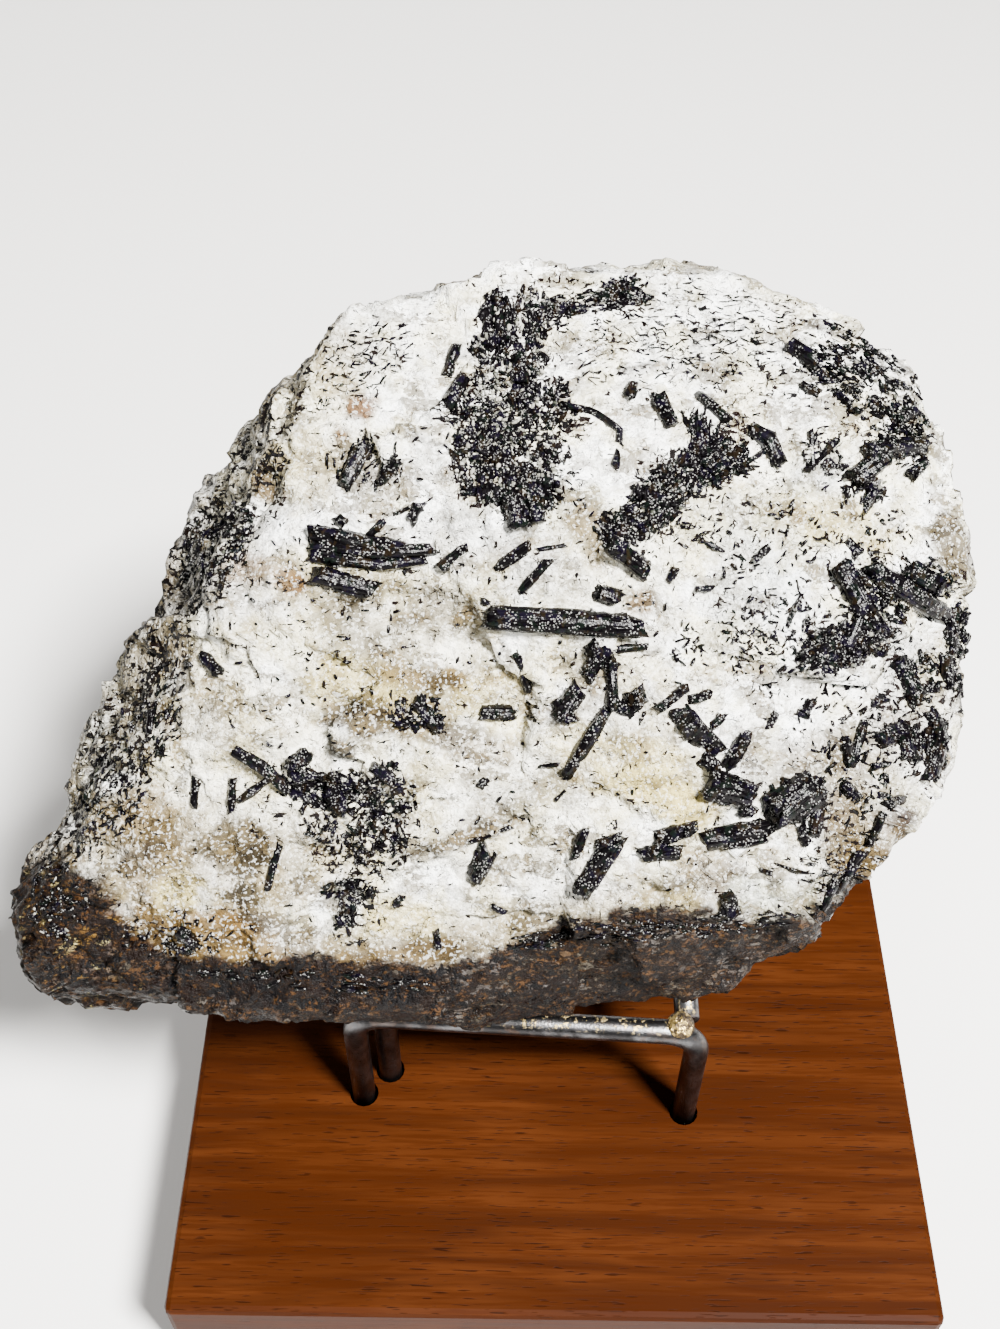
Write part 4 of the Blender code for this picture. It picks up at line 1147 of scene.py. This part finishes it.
def felt(regions, draw):
    """Needles strewn over regions: thin three-ring grids that lie on the stone at a random heading."""
    forms = []
    shades = []
    around = np.arange(NEEDLE_GRID[1]) / NEEDLE_GRID[1] * TURN
    along = np.array(NEEDLE_RINGS)
    swell_along = np.array(NEEDLE_SWELL)
    for x, y, half_width, half_height, turn, count, heading, spread, longest, widest, pale in regions:
        turn = math.radians(turn)
        for _ in range(count):
            reach = draw.uniform(0.0, 1.0) ** NEEDLE_CROWDING
            angle = draw.uniform(0.0, TURN)
            long_way = half_width * reach * math.cos(angle)
            cross_way = half_height * reach * math.sin(angle)
            px = x + long_way * math.cos(turn) - cross_way * math.sin(turn)
            py = y - long_way * math.sin(turn) - cross_way * math.cos(turn)
            point, normal = resting(px, py)
            if point is None or clump(px, py) < draw.uniform(-0.9, 0.6):
                continue
            is_pale = draw.uniform() < pale
            head = math.radians(heading + spread * draw.uniform(-1.0, 1.0))
            normal = unit(np.array(normal) + np.array([0.0, 0.0, 0.6]))
            way = np.array([math.cos(head), math.sin(head), draw.normal(0.0, 0.25)])
            way = unit(way - normal * (way @ normal) * 0.8)
            side = unit(np.cross(normal, way))
            top = np.cross(way, side)
            length = longest * PIXEL * draw.uniform(0.4, 1.0) * (PALE_LENGTH if is_pale else 1.0)
            width = widest * PIXEL * draw.uniform(0.5, 1.0) * (PALE_WIDTH if is_pale else 1.0)
            middle = np.array(point) + normal * width * draw.uniform(-0.1, 0.45)
            jitter = 1.0 + NEEDLE_JITTER * draw.normal(size=NEEDLE_GRID)
            radius = 0.5 * width * swell_along[:, None] * jitter
            grid = (middle + (along * length)[:, None, None] * way
                    + (np.cos(around) * radius)[..., None] * side
                    + (np.sin(around) * radius)[..., None] * top)
            poles = np.stack([grid[0].mean(axis=0) - way * width * 0.1,
                              grid[-1].mean(axis=0) + way * width * 0.1])
            verts = np.concatenate([grid.reshape(-1, 3), poles])
            grain = np.column_stack([verts @ way, verts @ side, np.full(len(verts), draw.uniform(0, 90))])
            forms.append((verts, grain, NEEDLE_GRID))
            shades.append(draw.uniform(0.72, 1.0) if is_pale else draw.uniform(0.0, 0.45) ** 1.6)
    return forms, np.array(shades)


def paint_tourmaline():
    """Glossy black with painted highlights along its ribs, crisp pale specks that are partly grains and
    partly painted glints, and faint violet, green and tan.
    """
    paint = Paint("tourmaline")
    grain = paint.stored("grain")
    place = paint.stored("place")
    shade = paint.stored("shade", 2)
    ribs = paint.noise(paint.stretched(grain, (0.30, 3.2, 1.0)), 1.3, 2.0, 0.6)
    lumps = paint.noise(place, 1.9, 3.0, 0.6)
    # painted highlights: light grey along the tops of the ribs
    colour = paint.mix(ribs.between(0.54, 0.64) * 0.45, ink(12, 11, 12), ink(84, 83, 84))
    colour = paint.mix(shade.between(0.2, 0.6) * 0.45, colour, ink(92, 93, 96))
    violet = paint.noise(place, 0.9).between(0.56, 0.60)
    colour = paint.mix(violet * 0.45, colour, ink(58, 52, 72))
    green = paint.noise(paint.stretched(place, (1.0, 1.0, 1.7)), 1.1).between(0.57, 0.61)
    colour = paint.mix(green * 0.45, colour, ink(54, 66, 58))
    warm = paint.noise(paint.stretched(place, (1.4, 0.8, 1.0)), 1.0).between(0.58, 0.62)
    colour = paint.mix(warm * 0.40, colour, ink(92, 82, 64))
    pale = shade.between(0.66, 0.70)
    pale_colour = paint.mix(shade.between(0.72, 1.0), ink(124, 128, 116), ink(212, 210, 202))
    colour = paint.mix(pale, colour, pale_colour)
    # pale specks: partly small grains, partly painted glints
    specks = paint.cells(place, 4.8).between(0.37, 0.29)
    chosen = paint.noise(place, 1.3, 1.0).between(0.48, 0.51)
    colour = paint.mix(specks * chosen * 0.85, colour, ink(186, 186, 184))
    rough = 0.13 + 0.16 * lumps + 0.3 * pale
    normal = paint.bump(ribs * 0.7 + lumps * 0.5, 0.18, 0.7)
    paint.shader.inputs["Specular IOR Level"].default_value = 0.06
    return paint.finish(Base_Color=colour, Roughness=rough, Normal=normal)


def build_tourmaline():
    """All black crystals: the single ones that replace solids, small ones, and felts of needles."""
    finish = paint_tourmaline()

    def place_piece(piece, nodes):
        piece.data.materials.append(finish)
        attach(piece, "root")
        if nodes:
            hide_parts(*nodes)

    draw = np.random.default_rng(CRYSTAL_SEED)
    for name, lines in PRISMS.items():
        forms = []
        for pixels, width in lines:
            forms += crystal(pixels, width, draw)
        place_piece(many(name + "_crystal", forms, draw.uniform(0.0, 0.2, len(forms))), [name])
    forms = []
    for pixels, width in SMALL_PRISMS:
        forms += crystal(pixels, width, draw)
    place_piece(many("small_crystals", forms, draw.uniform(0.0, 0.2, len(forms))), [])
    for name, regions in FELTS.items():
        forms, shades = felt(regions, draw)
        place_piece(many(name + "_felt", forms, shades), [name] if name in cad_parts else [])


# Heights in mm between which the bars get a painted highlight and gold chips towards their top
TOP_BAND_FROM = 33.9
TOP_BAND_TO = 34.3

# The stand, in metres, the same values as the solids
GAP = 0.0003
BASE_THICKNESS = 0.016
ROD_RADIUS = 0.0012
ROD_FOOT_DEPTH = 0.006
RING_HEIGHT = 0.0172
BEND_RADIUS = 0.0034
FRONT_LEFT_LEG = (-0.0197, -0.0149)
FRONT_RIGHT_LEG = (0.0137, -0.0165)
BACK_LEFT_LEG = (-0.0194, 0.0190)
BACK_RIGHT_LEG = (0.0130, 0.0186)
LEFT_RAIL_X = -0.0186
RIGHT_RAIL_X = 0.0126
BRACE = (-0.0171, -0.0122)


def rounded_path(corners, bend, steps=9):
    """Path through corners, each inner corner replaced by an arc of the bend radius."""
    path = [np.array(corners[0])]
    for before, corner, after in zip(corners, corners[1:], corners[2:]):
        corner = np.array(corner)
        back = unit(np.array(before) - corner)
        ahead = unit(np.array(after) - corner)
        half = math.acos(back @ ahead) / 2.0
        run = bend / math.tan(half)
        centre = corner + unit(back + ahead) * bend / math.sin(half)
        start = corner + back * run - centre
        end = corner + ahead * run - centre
        sweep = math.pi - 2.0 * half
        for t in np.linspace(0.0, 1.0, steps):
            turned = start * math.sin((1.0 - t) * sweep) + end * math.sin(t * sweep)
            path.append(centre + turned / math.sin(sweep))
    path.append(np.array(corners[-1]))
    return np.array(path)


def tube(name, path, radius, around=24):
    """Round rod: a circle carried along a path, square to it, with closed flat ends."""
    way = unit_rows(np.gradient(path, axis=0))
    level = np.array([0.3, 1.0, 0.2])
    side = unit_rows(np.cross(level[None, :], way))
    top = np.cross(way, side)
    v = np.arange(around) / around * TURN
    grid = (path[:, None, :] + radius * np.cos(v)[None, :, None] * side[:, None, :]
            + radius * np.sin(v)[None, :, None] * top[:, None, :])
    verts = np.concatenate([grid.reshape(-1, 3), path[[0, -1]]])
    return mesh_object(name, verts, [tube_faces(len(path), around), cap_faces(len(path), around)])


def between(p, q, x):
    """Y on the straight line from p to q at a given X."""
    return p[1] + (q[1] - p[1]) * (x - p[0]) / (q[0] - p[0])


def stand_paths():
    """Centre lines of the stand's rods: two bent rods with legs, two side rails and a brace."""
    foot = BASE_THICKNESS - ROD_FOOT_DEPTH
    ring = BASE_THICKNESS + RING_HEIGHT
    inset = 2.0 * ROD_RADIUS + GAP
    paths = {}
    for name, left, right in (("stand_front_rod", FRONT_LEFT_LEG, FRONT_RIGHT_LEG),
                              ("stand_back_rod", BACK_LEFT_LEG, BACK_RIGHT_LEG)):
        corners = [(*left, foot), (*left, ring), (*right, ring), (*right, foot)]
        paths[name] = rounded_path(corners, BEND_RADIUS)
    for name, x in (("stand_left_rail", LEFT_RAIL_X), ("stand_right_rail", RIGHT_RAIL_X)):
        front = between(FRONT_LEFT_LEG, FRONT_RIGHT_LEG, x) + inset - ROD_RADIUS
        back = between(BACK_LEFT_LEG, BACK_RIGHT_LEG, x) - inset + ROD_RADIUS
        paths[name] = np.linspace((x, front, ring), (x, back, ring), 12)
    top = ring - ROD_RADIUS - GAP
    paths["stand_left_brace"] = np.linspace((*BRACE, foot), (*BRACE, top), 8)
    return paths


def paint_steel():
    """Dark steel, brown in places, with a painted highlight and gold chips along the top of the bars."""
    paint = Paint("stand_metal")
    place = paint.millimetres()
    mottled = paint.noise(place, 0.45, 4.0).between(0.42, 0.60)
    colour = paint.mix(mottled, (0.026, 0.025, 0.026, 1.0), (0.095, 0.095, 0.10, 1.0))
    brown = paint.noise(place, 0.9, 3.0).between(0.50, 0.60)
    colour = paint.mix(brown * 0.35, colour, (0.07, 0.035, 0.018, 1.0))
    height = paint.node("SeparateXYZ", {}, {0: place}, 2)
    top_band = height.between(TOP_BAND_FROM, TOP_BAND_TO)
    # painted highlight: the top of the bars turns lighter grey
    colour = paint.mix(top_band * 0.25, colour, (0.16, 0.16, 0.16, 1.0))
    gold = paint.noise(place, 1.5, 4.0, 0.7).between(0.555, 0.585) * top_band
    colour = paint.mix(gold * 0.85, colour, (0.56, 0.42, 0.17, 1.0))
    fine = paint.noise(place, 4.0, 3.0, 0.7)
    return paint.finish(Base_Color=colour, Metallic=1.0, Roughness=0.20 + 0.22 * fine + 0.2 * gold,
                        Normal=paint.bump(fine + gold, 0.06, 0.6))


def paint_brass():
    """Yellow brazing metal, dull and sooty in its hollows."""
    paint = Paint("brazing")
    place = paint.millimetres()
    dull = paint.noise(place, 1.5, 4.0).between(0.45, 0.52)
    colour = paint.mix(dull, (0.60, 0.43, 0.15, 1.0), (0.06, 0.045, 0.03, 1.0))
    lumps = paint.noise(place, 1.6, 3.0)
    return paint.finish(Base_Color=colour, Metallic=1.0, Roughness=0.30 + 0.25 * dull,
                        Normal=paint.bump(lumps, 0.5, 0.9))


def paint_wood():
    """Orange-brown wood under a stain: bands and short dark pores along X, soft clouds of stain."""
    paint = Paint("wood")
    place = paint.millimetres()
    bands = paint.noise(paint.stretched(place, (0.05, 0.8, 1.0)), 0.55, 4.0, 0.55, 0.4)
    colour = paint.mix(bands.between(0.40, 0.60), (0.016, 0.0038, 0.0008, 1.0),
                       (0.031, 0.0080, 0.0016, 1.0))
    streaks = paint.noise(paint.stretched(place, (0.14, 2.6, 2.6)), 1.0, 3.0, 0.6).between(0.48, 0.60)
    colour = paint.mix(streaks * 0.60, colour, (0.018, 0.0036, 0.0004, 1.0))
    pores = paint.noise(paint.stretched(place, (0.42, 5.2, 5.2)), 1.0, 1.0, 0.5).between(0.64, 0.69)
    colour = paint.mix(pores * 0.85, colour, (0.006, 0.0014, 0.0003, 1.0))
    clouds = paint.noise(place, 0.06, 3.0).between(0.44, 0.58)
    colour = paint.mix(clouds * 0.35, colour, (0.020, 0.0042, 0.0004, 1.0))
    normal = paint.bump(streaks * 0.2 - pores, 0.05, 0.35)
    paint.shader.inputs["Specular IOR Level"].default_value = 0.02
    return paint.finish(Base_Color=colour, Roughness=0.42 + 0.18 * bands, Normal=normal)


def build_stand():
    """Rods as round tubes and the finish of the brazing and the base, which stay the solids."""
    steel = paint_steel()
    for name, path in stand_paths().items():
        rod = tube(name + "_tube", path, ROD_RADIUS)
        rod.data.materials.append(steel)
        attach(rod, "root")
        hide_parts(name)
    brass = paint_brass()
    wood = paint_wood()
    for name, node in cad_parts.items():
        if name.startswith("braze_"):
            node.data.materials.clear()
            node.data.materials.append(brass)
        if name == "wooden_base":
            node.data.materials.clear()
            node.data.materials.append(wood)


def build_camera():
    """Camera at the picture's place, looking along the leaning frame's near direction."""
    data = bpy.data.cameras.new("camera")
    data.sensor_width = SENSOR
    data.lens = FOCAL_PIXELS * SENSOR / max(PICTURE)
    data.clip_start = 0.005
    camera = bpy.data.objects.new("camera", data)
    turn = Matrix([AXES[0], AXES[1], AXES[2]]).transposed().to_4x4()
    camera.matrix_world = Matrix.Translation(EYE) @ turn
    bpy.context.scene.collection.objects.link(camera)
    bpy.context.scene.camera = camera


# Soft square lights: (name, place, size, watts, colour), all aimed at LIT_PLACE
LIGHTS = [
    ("key", (0.19, -0.20, 0.49), 0.09, 26.5, (1.0, 0.985, 0.96)),
    ("back", (-0.32, 0.26, 0.42), 0.22, 1.6, (1.0, 0.98, 0.96)),
    ("fill", (-0.30, -0.45, 0.35), 0.5, 1.2, (0.97, 0.98, 1.0)),
]
LIT_PLACE = (0, 0, 0.05)
FLOOR_REACH = 3.0
FLOOR_COLOUR = (0.72, 0.71, 0.69, 1.0)
WORLD_COLOUR = (0.85, 0.83, 0.80, 1.0)
WORLD_STRENGTH = 0.18


def area_light(name, place, size, power, colour):
    """Square soft light aimed at the stone."""
    data = bpy.data.lights.new(name, "AREA")
    data.shape = "SQUARE"
    data.size = size
    data.energy = power
    data.color = colour
    light = bpy.data.objects.new(name, data)
    light.location = place
    light.rotation_euler = (Vector(LIT_PLACE) - Vector(place)).to_track_quat("-Z", "Y").to_euler()
    bpy.context.scene.collection.objects.link(light)


def build_studio():
    """Plain pale floor, soft lights and a dim even surrounding."""
    corners = [(FLOOR_REACH * i, FLOOR_REACH * j, 0.0) for i, j in ((-1, -1), (1, -1), (1, 1), (-1, 1))]
    floor = mesh_object("floor", corners, [[(0, 1, 2, 3)]])
    paint = Paint("floor_paint")
    floor.data.materials.append(paint.finish(Base_Color=FLOOR_COLOUR, Roughness=0.9))
    for light in LIGHTS:
        area_light(*light)
    world = bpy.data.worlds.new("surround")
    world.use_nodes = True
    glow = world.node_tree.nodes["Background"]
    glow.inputs["Color"].default_value = WORLD_COLOUR
    glow.inputs["Strength"].default_value = WORLD_STRENGTH
    bpy.context.scene.world = world


stone, SURFACE = build_stone()
stone.data.materials.append(paint_quartz())
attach(stone, "root")
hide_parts("quartz_matrix")
build_tourmaline()
build_stand()
build_camera()
build_studio()
